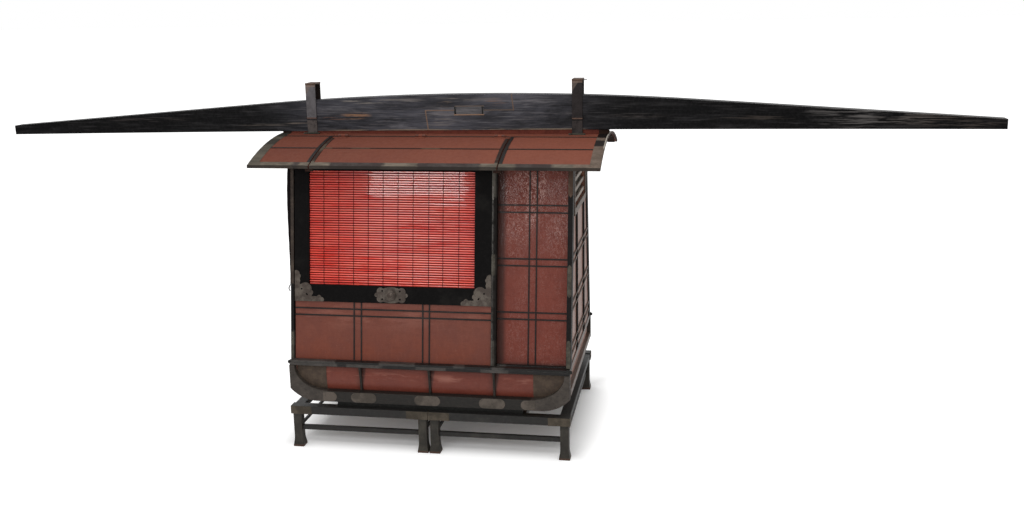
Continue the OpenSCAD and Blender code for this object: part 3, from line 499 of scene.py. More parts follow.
def leg_material(name):
    """Black legs, rubbed grey, with brown feet."""
    m = Mat(name)
    cloud = m.noise(18, 5, 0.65)
    fine = m.noise(120, 4, 0.7, m.stretch(1, 1, 0.3))
    m.colour = m.mix(m.mask(cloud, 0.4, 0.65), srgb(44, 41, 36), srgb(62, 58, 51))
    m.lay(m.mask(fine, 0.52, 0.72) * 0.5, srgb(30, 27, 24))
    m.lay(m.edges(0.003) * 0.5, srgb(96, 90, 78))
    foot = m.fade(m.z + fine * 0.006, 0.008, 0.014)
    m.lay(foot * 0.85, srgb(78, 54, 42))
    normal = m.bump(cloud + fine, 0.0006, 0.5, m.rounded(0.002))
    return m.finish(0.45, normal, spec=0.3)


def end_batten_material(name):
    """Battens of the end walls: black uprights and browner level pairs."""
    m = Mat(name)
    y = abs(m.y)
    fine = m.noise(120, 4, 0.7)
    upright = m.mask(y, 0.104, 0.1048) * m.fade(y, 0.1112, 0.112)
    upright = m.most(upright, m.mask(y, 0.132, 0.1328) * m.fade(y, 0.1392, 0.14))
    upright = upright * m.fade(m.z, 0.9, 0.905)
    level = m.mix(m.mask(fine, 0.4, 0.7), srgb(104, 88, 76), srgb(74, 58, 50))
    level = m.mix(m.edges(0.0016) * 0.8, level, srgb(30, 22, 19))
    m.colour = m.mix(upright, level, (0.01, 0.009, 0.008))
    return m.finish(m.lerp(upright, 0.42, 0.8), m.bump(fine, 0.0004, 0.4), spec=0.25)


def hoop_material(name, where, top, face, low, side, brown):
    """Iron strap of a hoop: a rusty collar line, a mottled leg and foot, and a brown cap."""
    m = Mat(name)
    z = m.z - RIDGE_Z
    x = m.x - CAB_X - where
    cloud = m.noise(28, 6, 0.7)
    fine = m.noise(170, 4, 0.7)
    body = m.mix(m.mask(cloud, 0.4, 0.62), face, tint(face, 1.35))
    leg = m.mix(m.mask(cloud, 0.42, 0.55), low, tint(low, 1.9))
    m.colour = m.mix(m.mask(z, 0.052, 0.056), leg, body)
    m.lay(m.fade(abs(z - 0.055), 0.0014, 0.003), srgb(24, 19, 18))
    collar = m.fade(abs(z - 0.061), 0.0016, 0.0032)
    m.lay(collar * 0.8, brown)
    # Painted highlight: a paler patch towards the strap's upper front corner
    shine = (x + 0.0205) / 0.028 + (top - z) / 0.042
    m.lay(m.fade(shine, 0.95, 1.1) * 0.55, srgb(112, 98, 90))
    m.lay(m.mask(z, top - 0.004, top - 0.003),
          m.mix(m.mask(fine, 0.4, 0.6), srgb(70, 52, 44), srgb(96, 74, 62)))
    under = m.fade(abs(z - (top - 0.0065)), 0.001, 0.0026)
    m.lay(under * 0.7, srgb(128, 106, 92))
    inner = m.fade(abs(m.y), 0.0288, 0.0292) * m.fade(z, top - 0.003, top - 0.001)
    m.lay(inner, srgb(36, 26, 22))
    flank = m.mask(abs(x), 0.0198, 0.0203)
    m.lay(flank * m.fade(z, top - 0.006, top - 0.004), side)
    m.lay(m.fade(z, 0.004, 0.006), m.mix(m.mask(cloud, 0.4, 0.6), srgb(48, 46, 40), srgb(74, 72, 64)))
    m.lay(m.mask(fine, 0.55, 0.7) * 0.35, tint(face, 0.4))
    normal = m.bump(cloud + fine, 0.0007, 0.6, m.rounded(0.0012))
    return m.finish(m.lerp(m.mask(fine, 0.4, 0.7), 0.45, 0.62), normal, spec=0.2)


def edge_material(name):
    """The door's metal edge: a thin silver line beside black, with olive and pale patches."""
    m = Mat(name)
    x = m.x - CAB_X - DOOR_X[1]
    cloud = m.noise(30, 5, 0.7)
    fine = m.noise(190, 4, 0.7, m.stretch(1, 1, 0.3))
    m.colour = m.mix(m.mask(cloud, 0.4, 0.65), (0.01, 0.009, 0.008), (0.018, 0.016, 0.015))
    line = m.mask(x, 0, 0.002) * m.fade(x, 0.005, 0.008)
    line = line * m.mask(fine, 0.36, 0.56)
    m.lay(line * 0.5, srgb(104, 102, 98))
    z = m.z + (cloud - 0.5) * 0.03
    for low, high, tone, power in ((0.985, 1.2, (72, 69, 62), 0.75), (0.696, 0.772, (70, 66, 58), 0.7),
                                   (0.3, 0.452, (64, 60, 54), 0.5), (0.52, 0.69, (36, 32, 29), 0.4)):
        band = m.mask(z, low - 0.003, low + 0.003) * m.fade(z, high - 0.003, high + 0.003)
        m.lay(band * power, m.mix(m.mask(cloud, 0.4, 0.6), srgb(*tone), srgb(*(c + 22 for c in tone))))
    dark = m.mask(x, 0.0125, 0.0135)
    m.lay(dark * 0.75, (0.009, 0.008, 0.007))
    normal = m.bump(cloud + fine, 0.0008, 0.6, m.rounded(0.001))
    return m.finish(m.lerp(m.mask(fine, 0.4, 0.7), 0.5, 0.65), normal, spec=0.05)


def slat_material(name):
    """Red lacquered bamboo: glossy, streaked along each slat, with a painted highlight on the upper part of each
    slat and painted shade on its lower part.
    """
    m = Mat(name)
    long = m.noise(40, 4, 0.6, m.stretch(0.05, 1, 1))
    fine = m.noise(240, 3, 0.6, m.stretch(0.1, 1, 1))
    tone = m.noise(70, 2, 0.5, m.stretch(0.12, 1, 1))
    m.colour = m.mix(m.mask(long, 0.35, 0.68), srgb(226, 48, 29), srgb(192, 32, 22))
    m.lay(m.mask(tone, 0.45, 0.7) * 0.6, srgb(228, 78, 52))
    m.lay(m.mask(fine, 0.55, 0.75) * 0.35, srgb(232, 104, 84))
    pitch = (BLIND_TOP - RAIL_TOP) / SLATS
    place = m.math("FRACT", (m.z - (RAIL_TOP - 0.0016)) / pitch)
    # Painted highlight: a pale line on the upper part of each slat, patchy and strongest towards the blind's
    # middle
    painted_highlight = m.mask(place, 0.52, 0.62) * m.fade(place, 0.7, 0.8)
    near = abs(m.x - (CAB_X - 0.08)) / 0.34
    middle = m.lerp(m.fade(near, 0.2, 1), 0.3, 1)
    patchy = m.mask(m.noise(14, 4, 0.62, m.stretch(0.3, 1, 2.6)), 0.32, 0.55) * middle
    m.lay(painted_highlight * patchy * 0.95, srgb(255, 178, 168))
    # Painted shade on the lower part of each slat
    m.lay(m.fade(place, 0.16, 0.42) * 0.88, srgb(92, 8, 8))
    normal = m.bump(long + fine * 0.4, 0.00012, 0.3)
    return m.finish(m.lerp(m.mask(fine, 0.3, 0.7), 0.32, 0.42), normal, spec=0.3, Coat_Weight=1,
                    Coat_Roughness=0.03)


def patched(name, base, patch, pairs, lower=None, edge_wear_and_highlight=0.5, rough=0.45, spec=0.15, split=None,
            ragged=0.02):
    """Black lacquer with metal patches along X; lower is a second set of pairs, below the height split."""
    m = Mat(name)
    cloud = m.noise(26, 5, 0.65)
    fine = m.noise(140, 4, 0.65, m.stretch(0.4, 1, 1))
    mask = spans(m, m.x - CAB_X, pairs, ragged)
    if lower is not None:
        below = m.fade(m.z, split - 0.0005, split + 0.0005)
        mask = m.lerp(below, mask, spans(m, m.x - CAB_X, lower, ragged))
    dark = m.mix(m.mask(fine, 0.4, 0.75), base, tint(base, 1.8))
    metal = m.mix(m.mask(cloud, 0.4, 0.62), patch, tint(patch, 1.5))
    metal = m.mix(m.mask(fine, 0.5, 0.7) * 0.5, metal, tint(patch, 0.4))
    m.colour = m.mix(mask, dark, metal)
    edge = m.edges(0.0016) * m.mask(fine, 0.35, 0.6)
    # Paler edges: wear, and where strong, as on the sill, also a painted highlight along them
    m.lay(edge * edge_wear_and_highlight, tint(patch, 2.2))
    normal = m.bump(cloud + fine, 0.0005, 0.5, m.rounded(0.0014))
    return m.finish(m.lerp(m.mask(fine, 0.3, 0.7), rough, rough + 0.15), normal, spec=spec)


def plain(name, base, other, scale, rough, grain=(1, 1, 1), spec=0.5):
    """Two tones in clouds or, with a grain, in streaks."""
    base, other = srgb(*base), srgb(*other)
    m = Mat(name)
    vec = m.stretch(*grain)
    a = m.noise(scale, 5, 0.65, vec)
    b = m.noise(scale * 7, 3, 0.6, vec)
    m.colour = m.mix(m.mask(a, 0.35, 0.68), base, other)
    m.lay(m.mask(b, 0.5, 0.75) * 0.4, tint(base, 0.6))
    normal = m.bump(a + b * 0.5, 0.0005, 0.5)
    return m.finish(m.lerp(m.mask(b, 0.3, 0.7), rough, min(1, rough + 0.12)), normal, spec)


RED = srgb(112, 58, 44)
MATS = {
    # The door panels and skirts carry a painted highlight band, the rear panels and skirts painted shade
    "red": red_lacquer("red_wall", RED, warm_foot=True, painted_gleam=(0.46, 0.6, 0.25)),
    "red_side": red_lacquer("red_rear_panel", srgb(116, 52, 39), crinkle=True, rough=0.55, shade_and_dark_ends=panel_painted_shade),
    # The end walls' red is paler and more tan than the side walls': in part a painted reflection of the glare they
    # take at a slant
    "red_end": red_lacquer("red_end_wall", srgb(136, 88, 67), (1, 2), spec=0.8, rough=0.3),
    "red_skirt": red_lacquer("red_skirt", srgb(113, 53, 40), spec=0.35, rough=0.34, shade_and_dark_ends=skirt_painted_shade,
                             painted_gleam=(SILL_TOP - 0.082, SILL_TOP - 0.036, 0.6)),
    "roof": red_lacquer("roof_red", srgb(118, 66, 51), (0, 1), 0.006, 0.12, 0.55, shade_and_dark_ends=roof_ends, drift=True),
    "frame": black_lacquer("frame_black", worn=(0.1, 0.09, 0.075)),
    "rafter": plain("rafter_brown", (40, 28, 24), (52, 38, 32), 30, 0.8, (0.2, 1, 1), spec=0.02),
    "saddle": plain("saddle_red", (84, 40, 32), (104, 52, 41), 20, 0.6, spec=0.1),
    "end_frame": black_lacquer("end_frame", srgb(78, 60, 50), 0.5, srgb(110, 92, 80), 0.32, 0.6),
    # The sill's strong pale edges are partly wear and partly a painted highlight along its top edges
    "sill": patched("sill_black", (0.0075, 0.0065, 0.006), srgb(56, 52, 49),
                    ((-0.56, -0.365), (-0.19, -0.05), (0.104, 0.145), (0.25, 0.3)),
                    ((-0.56, -0.355), (-0.318, -0.175), (-0.045, 0.075), (0.21, 0.318)),
                    split=SILL_TOP - 0.0075, edge_wear_and_highlight=0.9, rough=0.36, spec=0.4),
    "door": black_lacquer("door_black", (0.0045, 0.004, 0.004), 0.1, rough=0.5, spec=0.06),
    "batten": black_lacquer("batten_black", (0.016, 0.013, 0.012), 0.5, (0.12, 0.11, 0.1), 0.35, 0.2, 0.001),
    "end_batten": end_batten_material("end_battens"),
    "rib": black_lacquer("rib_grey", (0.024, 0.02, 0.017), 0.7, (0.09, 0.08, 0.065), 0.5, 0.12),
    "post": post_material("post_black"),
    "clad": patched("clad_black", (0.015, 0.013, 0.011), srgb(58, 52, 47), ((-0.6, -0.4), (0.4, 0.6)),
                    rough=0.42, ragged=0, spec=0.3),
    "trestle": black_lacquer("trestle_black", (0.014, 0.013, 0.012), 0.5, (0.11, 0.1, 0.08), 0.36, 0.35,
                             0.0025),
    "foot": leg_material("leg_black"),
    "cap": sheet_metal("cap_metal", (64, 58, 50), (84, 76, 66), spec=0.12, metal=0),
    "plate": sheet_metal("plate_metal", (72, 66, 60), (92, 84, 77), spec=0.12, metal=0),
    "fitting": sheet_metal("fitting_iron", (72, 63, 57), (98, 90, 82), 24, rough=0.46),
    "knob": sheet_metal("knob_iron", (74, 64, 58), (104, 94, 86), 40, rough=0.34, metal=0.3),
    "iron": sheet_metal("dark_iron", (44, 38, 34), (66, 58, 52), 12, rough=0.45),
    "hinge": sheet_metal("hinge_brown", (86, 52, 43), (104, 62, 50), 30, rough=0.5, metal=0),
    "strap": hoop_material("strap_front", *HOOPS["front"], srgb(80, 77, 79), srgb(58, 52, 50),
                           srgb(34, 25, 22), srgb(96, 66, 52)),
    "strap_rear": hoop_material("strap_rear", *HOOPS["rear"], srgb(36, 31, 31), srgb(40, 35, 34),
                                srgb(30, 24, 23), srgb(112, 88, 74)),
    "edge": edge_material("edge_iron"),
    "bronze": plain("fan_bronze", (70, 59, 51), (84, 71, 60), 60, 0.55, spec=0.15),
    "silver": sheet_metal("worn_silver", (96, 92, 86), (136, 132, 126), 18, rough=0.42, metal=0.1),
    "post_brown": sheet_metal("brown_metal", (76, 60, 50), (96, 78, 66), 30, rough=0.55, metal=0,
                              spec=0.12),
    "olive": sheet_metal("olive_plate", (62, 59, 52), (84, 80, 71), 30, rough=0.55, metal=0, spec=0.12),
    "rim": rim_material("rim_metal"),
    "beam": beam_material("beam_lacquer"),
    "key": key_material("key_wood"),
    # Black for the fittings' holes, as painted shade
    "hole": plain("hole_painted_shade", (13, 13, 13), (20, 18, 18), 40, 0.8, spec=0.02),
    "slat": slat_material("slat_red"),
    "cord": plain("blind_cord", (16, 12, 14), (30, 24, 24), 300, 0.8, spec=0.05),
    "dark_slat": plain("dark_slat", (34, 24, 21), (52, 38, 32), 50, 0.6, (1, 0.08, 1), spec=0.05),
    # A dark red sheet that stands in for the shade between the blind's slats
    "shade_backing": plain("blind_shade_backing", (84, 10, 9), (104, 14, 12), 60, 0.8, spec=0.05),
    "wood": plain("floor_wood", (150, 110, 74), (124, 86, 56), 14, 0.62, (0.15, 1, 1)),
    "bar_dark": plain("bar_dark", (112, 105, 95), (80, 73, 65), 24, 0.6, spec=0.1),
    "bar": plain("bar_wood", (150, 138, 126), (112, 100, 90), 24, 0.45, (1, 0.15, 1)),
}


def paint(obj, key):
    obj.data.materials.clear()
    obj.data.materials.append(MATS[key])


# Each coat's nodes; a name stands for its near and far ones too
COATS = {
    "saddle": "beam_saddle",
    "end_frame": "end_sills bottom_end_rails",
    "frame": "runner_strips headers",
    "rafter": "rafters ridge_purlin hinge_purlins",
    "rib": "skirt_ribs",
    "sill": "sill_rails",
    "post": "corner_posts",
    "clad": "bottom_rail",
    "trestle": "trestle_top_rails trestle_cross_rails trestle_stretchers trestle_side_stretchers",
    "foot": "trestle_legs",
    "cap": "trestle_caps",
    "plate": "rail_plates",
    "wood": "floor_board",
    "red_skirt": "skirt",
    "bronze": "corner_fans",
    "red_side": "side_panels",
    "red_end": "end_wall_front end_wall_rear skirt_ends",
    "end_batten": "end_battens",
    "batten": "side_battens roof_battens door_battens",
    "bar": "window_bars",
    "dark_slat": "front_blind",
    "roof": "roof_shell flap",
    "rim": "roof_rim flap_battens",
    "hinge": "roof_hinges",
    "strap": "hoop_front",
    "strap_rear": "hoop_rear",
    "beam": "beam_front beam_rear",
    "key": "beam_key",
    "door": "door_frame",
    "red": "door_panel",
    "edge": "door_edge",
    "slat": "door_blind",
    "fitting": "door_fittings",
}
for coat, names in COATS.items():
    for name in names.split():
        for node in (name, name + "_near", name + "_far"):
            if node in nodes:
                paint(nodes[node], coat)


# Mesh helpers

def linked(name, data):
    obj = bpy.data.objects.new(name, data)
    bpy.context.scene.collection.objects.link(obj)
    return obj


def new_mesh(name, verts, faces, key, body, smooth=False):
    mesh = bpy.data.meshes.new(name)
    mesh.from_pydata([tuple(v) for v in verts], [], faces)
    mesh.validate()
    obj = linked(name, mesh)
    for face in mesh.polygons:
        face.use_smooth = smooth
    paint(obj, key)
    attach(obj, body)
    return obj


def soften(obj, width):
    """Rounds an object's edges, after its split corners are joined."""
    weld = obj.modifiers.new("weld", "WELD")
    weld.merge_threshold = 1e-5
    bevel = obj.modifiers.new("round", "BEVEL")
    bevel.width, bevel.segments = width, 2
    bevel.limit_method, bevel.angle_limit = "ANGLE", radians(35)
    bevel.harden_normals = True


def on_wall(side, x, s, n, z0=SILL_TOP):
    """Point in the frame of a leaning side wall: x along it, s up the slope from z0, n outwards."""
    y = WALL_FOOT - (z0 - SILL_TOP) * tan(LEAN)
    return Vector((x + CAB_X, side * (y - s * SIN_L + n * COS_L), z0 + s * COS_L + n * SIN_L))


def swept(rows):
    """A closed tube through rings of points, each ring the same length."""
    n = len(rows[0])
    last = n * (len(rows) - 1)
    faces = []
    for i in range(0, last, n):
        faces += [(i + j, i + (j + 1) % n, i + n + (j + 1) % n, i + n + j) for j in range(n)]
    faces += [tuple(reversed(range(n))), tuple(range(last, last + n))]
    return [p for row in rows for p in row], faces


def merge(parts):
    verts, faces = [], []
    for v, f in parts:
        base = len(verts)
        verts += list(v)
        faces += [tuple(i + base for i in face) for face in f]
    return verts, faces


def auto_smooth(obj, angle):
    """Keeps the edges sharp that turn by more than an angle."""
    obj.data.update()
    bm = bmesh.new()
    bm.from_mesh(obj.data)
    for e in bm.edges:
        if len(e.link_faces) == 2 and e.calc_face_angle(0) > radians(angle):
            e.smooth = False
    bm.to_mesh(obj.data)
    bm.free()


# Doors' blinds

def slat_ring(side, x, s, width, tilt, dn):
    """Cross-section of a slat: a flat face with well rounded edges."""
    thick = 0.0022
    half, r = width / 2, 0.0013
    section = [(-half, -thick)]
    for i in range(5):
        a = radians(90 - 22.5 * i)
        section.append((-half + r - r * sin(a), -r + r * cos(a)))
    section += [(-half + r + 0.0003, 0.0), (half - r - 0.0003, 0.0)]
    for i in range(5):
        a = radians(22.5 * i)
        section.append((half - r + r * sin(a), -r + r * cos(a)))
    section.append((half, -thick))
    return [on_wall(side, x, s + a * cos(tilt) - b * sin(tilt),
                    SLAT_N + dn + b * cos(tilt) + a * sin(tilt), RAIL_TOP) for a, b in section]


def door_blind(side, tag):
    body = "door_" + tag
    length = (BLIND_TOP - RAIL_TOP) / COS_L
    pitch = length / SLATS
    parts = []
    for i in range(SLATS):
        phase, bend = rng.uniform(0, 6.3), rng.uniform(0.2, 1.0)
        tilt0, lift = radians(rng.gauss(0, 0.35)), rng.uniform(-0.0003, 0.0003)
        rows = []
        for k in range(15):
            x = BLIND_X[0] + 0.001 + (BLIND_X[1] - BLIND_X[0] - 0.002) * k / 14
            wave = sin(phase + 5.5 * x * (1 + bend))
            rows.append(slat_ring(side, x, (i + 0.5) * pitch + 0.0004 * wave, pitch * 0.72,
                                  tilt0 + radians(0.35) * wave, lift + 0.0003 * wave))
        parts.append(swept(rows))
    blind = new_mesh("blind_slats_" + tag, *merge(parts), "slat", body, True)
    auto_smooth(blind, 40)
    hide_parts("door_blind_" + tag)
    parts = []
    for x in CORDS:
        x += rng.uniform(-0.0015, 0.0015)
        rows = []
        for k in range(4 * SLATS + 1):
            s = length * k / (4 * SLATS)
            lift = 0.0011 - 0.0014 * (k % 4 == 0)
            centre = on_wall(side, x + 0.0006 * sin(k * 0.8), s, SLAT_N + lift, RAIL_TOP)
            rows.append([centre + Vector((0.0011 * cos(a), side * 0.0005 * sin(a), 0))
                         for a in (0, 1.05, 2.09, 3.14, 4.19, 5.24)])
        parts.append(swept(rows))
    new_mesh("blind_cords_" + tag, *merge(parts), "cord", body, True)
    # A dark red sheet behind the slats, standing in for the shade seen through their gaps
    back = [on_wall(side, x, s, n, RAIL_TOP) for n in (-0.0135, -0.0145)
            for x, s in ((BLIND_X[0], 0), (BLIND_X[1], 0), (BLIND_X[1], length), (BLIND_X[0], length))]
    sides = [(0, 1, 2, 3), (7, 6, 5, 4), (0, 4, 5, 1), (1, 5, 6, 2), (2, 6, 7, 3), (3, 7, 4, 0)]
    new_mesh("blind_lining_" + tag, back, sides, "shade_backing", body)


for s_, tag_ in ((-1, "near"), (1, "far")):
    door_blind(s_, tag_)


# Thin plates, holes and marks on the walls and the doors

def prism(outline, place, low, high):
    """Solid between two heights over an outline; place(a, b, n) gives its points."""
    n = len(outline)
    verts = [place(a, b, low) for a, b in outline] + [place(a, b, high) for a, b in outline]
    faces = [tuple(range(n, 2 * n)), tuple(reversed(range(n)))]
    faces += [(i, (i + 1) % n, n + (i + 1) % n, n + i) for i in range(n)]
    return verts, faces


def pieces(name, parts, key, body="cabin", smooth=False):
    """One object from several solids, with its faces turned outwards."""
    obj = new_mesh(name, *merge(parts), key, body, smooth)
    bm = bmesh.new()
    bm.from_mesh(obj.data)
    bmesh.ops.recalc_face_normals(bm, faces=bm.faces)
    bm.to_mesh(obj.data)
    bm.free()
    return obj


def wall_place(side, z0=SILL_TOP):
    return lambda a, b, n: on_wall(side, a, b, n, z0)


def oval(cx, cy, rx, ry, turn=0.0):
    ring = []
    for i in range(16):
        a = 2 * pi * i / 16
        px, py = rx * cos(a), ry * sin(a)
        ring.append((cx + px * cos(turn) - py * sin(turn), cy + px * sin(turn) + py * cos(turn)))
    return ring


def stroke(points, width):
    """Outline of a line of a given width through the points, with tapering ends."""
    left, right = [], []
    n = len(points)
    for i, (x, y) in enumerate(points):
        a, b = points[max(i - 1, 0)], points[min(i + 1, n - 1)]
        d = hypot(b[0] - a[0], b[1] - a[1])
        nx, ny = -(b[1] - a[1]) / d, (b[0] - a[0]) / d
        w = width / 2 * (0.35 if i in (0, n - 1) else 1.0)
        left.append((x + nx * w, y + ny * w))
        right.append((x - nx * w, y - ny * w))
    return left + right[::-1]


def strip(x0, x1, s0, s1, tip):
    """Outline of an upright strip with pointed ends."""
    mid = (x0 + x1) / 2
    return [(x0, s0 + tip), (mid, s0), (x1, s0 + tip), (x1, s1 - tip), (mid, s1), (x0, s1 - tip)]


def box_ring(low, high):
    return [(low[0], low[1]), (high[0], low[1]), (high[0], high[1]), (low[0], high[1])]


# Marks on the door's fittings, sunk into their faces, by place along the rail and over its foot
MARK_N = (0.0013, 0.0018)
KNOB = (-0.146, 0.032)
HOOK = ((-0.5485, 0.292), (-0.553, 0.286), (-0.5565, 0.277), (-0.555, 0.268), (-0.55, 0.266))
KNOB_CURL = ((0.05, 0.012), (0.056, 0.006), (0.057, -0.002), (0.052, -0.008))
KNOB_DISCS = ((0.0125, 0.0196, 0.0085, 0.0208), (0.0085, 0.0208, 0.004, 0.0216))
CORNER_MARKS = (oval(0.0278, 0.0474, 0.0036, 0.003), oval(0.0486, 0.0272, 0.0052, 0.003, -0.9))
CORNER_CURLS = (((0.0486, 0.0345), (0.043, 0.036), (0.0405, 0.031), (0.044, 0.0265)),
                ((0.058, 0.052), (0.064, 0.046), (0.063, 0.038), (0.057, 0.035)),
                ((0.01, 0.098), (0.016, 0.097), (0.018, 0.091), (0.014, 0.087)),
                ((0.094, 0.021), (0.0985, 0.019), (0.098, 0.014), (0.093, 0.013)))


def door_marks(side, tag):
    body = "door_" + tag
    rail = wall_place(side, RAIL_BOT)
    mark = lambda outline: prism(outline, rail, *MARK_N)
    # Black discs for the fittings' holes: the dark inside each hole is painted shade
    holes = [mark(oval(KNOB[0] + dx, KNOB[1] + dy, 0.0036, 0.0036))
             for dx in (-0.035, 0.035) for dy in (-0.016, 0.016)]
    curls = [mark(stroke([(KNOB[0] + dx * a, KNOB[1] + b) for a, b in KNOB_CURL], 0.0016)) for dx in (-1, 1)]
    for turn, x0 in ((1, DOOR_X[0]), (-1, DOOR_X[1])):
        flip = lambda pts: [(x0 + turn * a, b) for a, b in pts]
        holes += [mark(flip(ring)) for ring in CORNER_MARKS]
        curls += [mark(flip(stroke(line, 0.0014))) for line in CORNER_CURLS]
    pieces("fitting_holes_" + tag, holes, "hole", body)
    pieces("fitting_curls_" + tag, curls, "iron", body)
    turns = [0.3927 * i for i in range(16)]
    disc = lambda r, n: [rail(KNOB[0] + r * cos(a), KNOB[1] + r * sin(a), n) for a in turns]
    cap = [swept([disc(r0, n0), disc(r1, n1)]) for r0, n0, r1, n1 in KNOB_DISCS]
    auto_smooth(pieces("knob_cap_" + tag, cap, "knob", body, True), 30)
    edge = wall_place(side)
    latch = [prism(strip(0.247, 0.2515, 0.636, 0.682, 0.003), edge, 0.0028, 0.0058),
             prism(oval(0.2495, 0.634, 0.0032, 0.0042), edge, 0.0028, 0.0072)]
    soften(pieces("latch_" + tag, latch, "silver", body), 0.0008)


def wall_plates(side, tag):
    post = wall_place(side)
    plate = lambda outline: prism(outline, post, 0.0, 0.0008)
    x0, x1 = 0.5325, 0.5497
    mid = (x0 + x1) / 2
    cap = [plate([(x0, 0.655), (mid, 0.642), (x1, 0.655), (x1, 0.752), (x0, 0.752)])]
    pieces("post_cap_" + tag, cap, "post_brown")
    low, high = x0 + 0.001, x1 - 0.001
    foot = [(low, 0.001), (high, 0.001), (high, 0.098), (mid + 0.004, 0.106), (mid - 0.004, 0.106), (low, 0.098)]
    plates = [plate(strip(low, high, 0.268, 0.392, 0.008)), plate(foot),
              plate(box_ring((-0.549, 0.001), (-0.5395, 0.104)))]
    pieces("post_plates_" + tag, plates, "olive")
    hook = [prism(stroke(HOOK, 0.0035), post, 0.001, 0.005)]
    soften(pieces("front_hook_" + tag, hook, "cord"), 0.0008)
    rail = lambda a, b, n: Vector((a + CAB_X, side * (RAIL_Y + n), b))
    z0, z1 = SILL_TOP - 0.1605, SILL_TOP - 0.1225
    mid, r = (z0 + z1) / 2, (z1 - z0) / 2
    lobes, noses = [], []
    half_turn = [pi * (i / 12 - 0.5) for i in range(13)]
    twelfths = [0.5236 * i for i in range(12)]
    for end in (-1, 1):
        ring = [(end * (0.3815 - r * cos(a)), mid + r * sin(a)) for a in half_turn]
        lobes.append(prism(ring + [(end * 0.418, z1), (end * 0.418, z0)], rail, 0.0, 0.0012))
        rows = []
        for x, k in ((0.545, 1.0), (0.551, 1.0), (0.5555, 0.85), (0.558, 0.45)):
            r_nose = 0.0075 * k
            rows.append([Vector((end * x + CAB_X, side * (0.3885 + r_nose * cos(a)),
                                 SILL_TOP - 0.0085 + r_nose * sin(a))) for a in twelfths])
        noses.append(swept(rows))
    soften(pieces("rail_lobes_" + tag, lobes, "plate"), 0.0004)
    auto_smooth(pieces("sill_noses_" + tag, noses, "frame", "cabin", True), 50)


def hoop_details():
    parts, pins = [], []
    for x, top in HOOPS.values():
        x += CAB_X
        z = RIDGE_Z + top
        for side in (-1, 1):
            place = lambda a, b, n: Vector((x + a, side * (0.0322 + n), z + b))
            parts.append(prism(box_ring((-0.0208, 0.0), (0.0214, 0.0054)), place, -0.001, 0.001))
        pin = [[Vector((x + a, -0.026 + 0.0016 * cos(t), z + 0.0018 + 0.0016 * sin(t)))
                for t in [0.7854 * i for i in range(8)]] for a in (0.02, 0.0375)]
        pins.append(swept(pin))
    soften(pieces("hoop_lips", parts, "post_brown"), 0.0006)
    pieces("hoop_pins", pins, "iron")


for s_, tag_ in ((-1, "near"), (1, "far")):
    door_marks(s_, tag_)
    wall_plates(s_, tag_)
hoop_details()


# Hanging blind over the front window: fine reeds that follow its bow, with bound edges and cords

def bow_at(t):
    return 0.013 * sin(radians(130 * t ** 1.5))


def front_reeds():
    """The front blind's reeds, cords and border, which follow its bow."""
    z0, z1 = RAIL_TOP, EAVE_Z - 0.006
    z_at = lambda t: z0 + t * (z1 - z0)
    x_at = lambda t: -HALF_L - 0.0021 - bow_at(t) + CAB_X
    half = lambda z: WALL_FOOT - (z - SILL_TOP) * WALL_SLOPE - 0.0065
    reeds, cords, border = [], [], []
    for i in range(REEDS):
        t = (i + 0.5) / REEDS
        z = z_at(t)
        w, x = half(z) - 0.011, x_at(t) + rng.uniform(-0.0002, 0.0002)
        rows = []
        for y in (-w, -w / 3, w / 3, w):
            wave = 0.0005 * sin(5 * y + i)
            rows.append([Vector((x - 0.0013 * cos(a), y, z + wave + 0.0026 * sin(a)))
                         for a in [1.0472 * k for k in range(6)]])
        reeds.append(swept(rows))
    inner = CAB_X - HALF_L - 0.0004
    for side in (-1, 1):
        rows = []
        for k in range(25):
            t = k / 24
            z = z_at(t)
            y, x = side * (half(z) - 0.006), x_at(t) - 0.0004 * sin(k * 2.1)
            section = ((x - 0.0019, -0.006), (x - 0.0019, 0.006), (inner, 0.006), (inner, -0.006))
            rows.append([Vector((a, y + b, z)) for a, b in section])
        border.append(swept(rows))
    for y0 in (-0.24, -0.16, -0.08, 0.0, 0.08, 0.16, 0.24):
        rows = []
        for k in range(REEDS + 1):
            t = k / REEDS
            z = z_at(t)
            if abs(y0) > half(z) - 0.02:
                break
            x = x_at(t) - 0.0021
            rows.append([Vector((x - 0.0007 * cos(a), y0 + 0.0009 * sin(a), z))
                         for a in (0, 1.57, 3.14, 4.71)])
        cords.append(swept(rows))
    section = ((-0.0025, -0.004), (-0.0025, 0.004), (0.0025, 0.004), (0.0025, -0.004))
    for t in (0.004, 0.997):
        x, z = x_at(t), z_at(t)
        border.append(swept([[Vector((x + a, y, z + b)) for a, b in section] for y in (-half(z), half(z))]))
    reed = pieces("front_blind_reeds", reeds, "dark_slat", "cabin", True)
    auto_smooth(reed, 60)
    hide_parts("front_blind")
    pieces("front_blind_border", border, "cord")
    pieces("front_blind_cords", cords, "cord")


front_reeds()


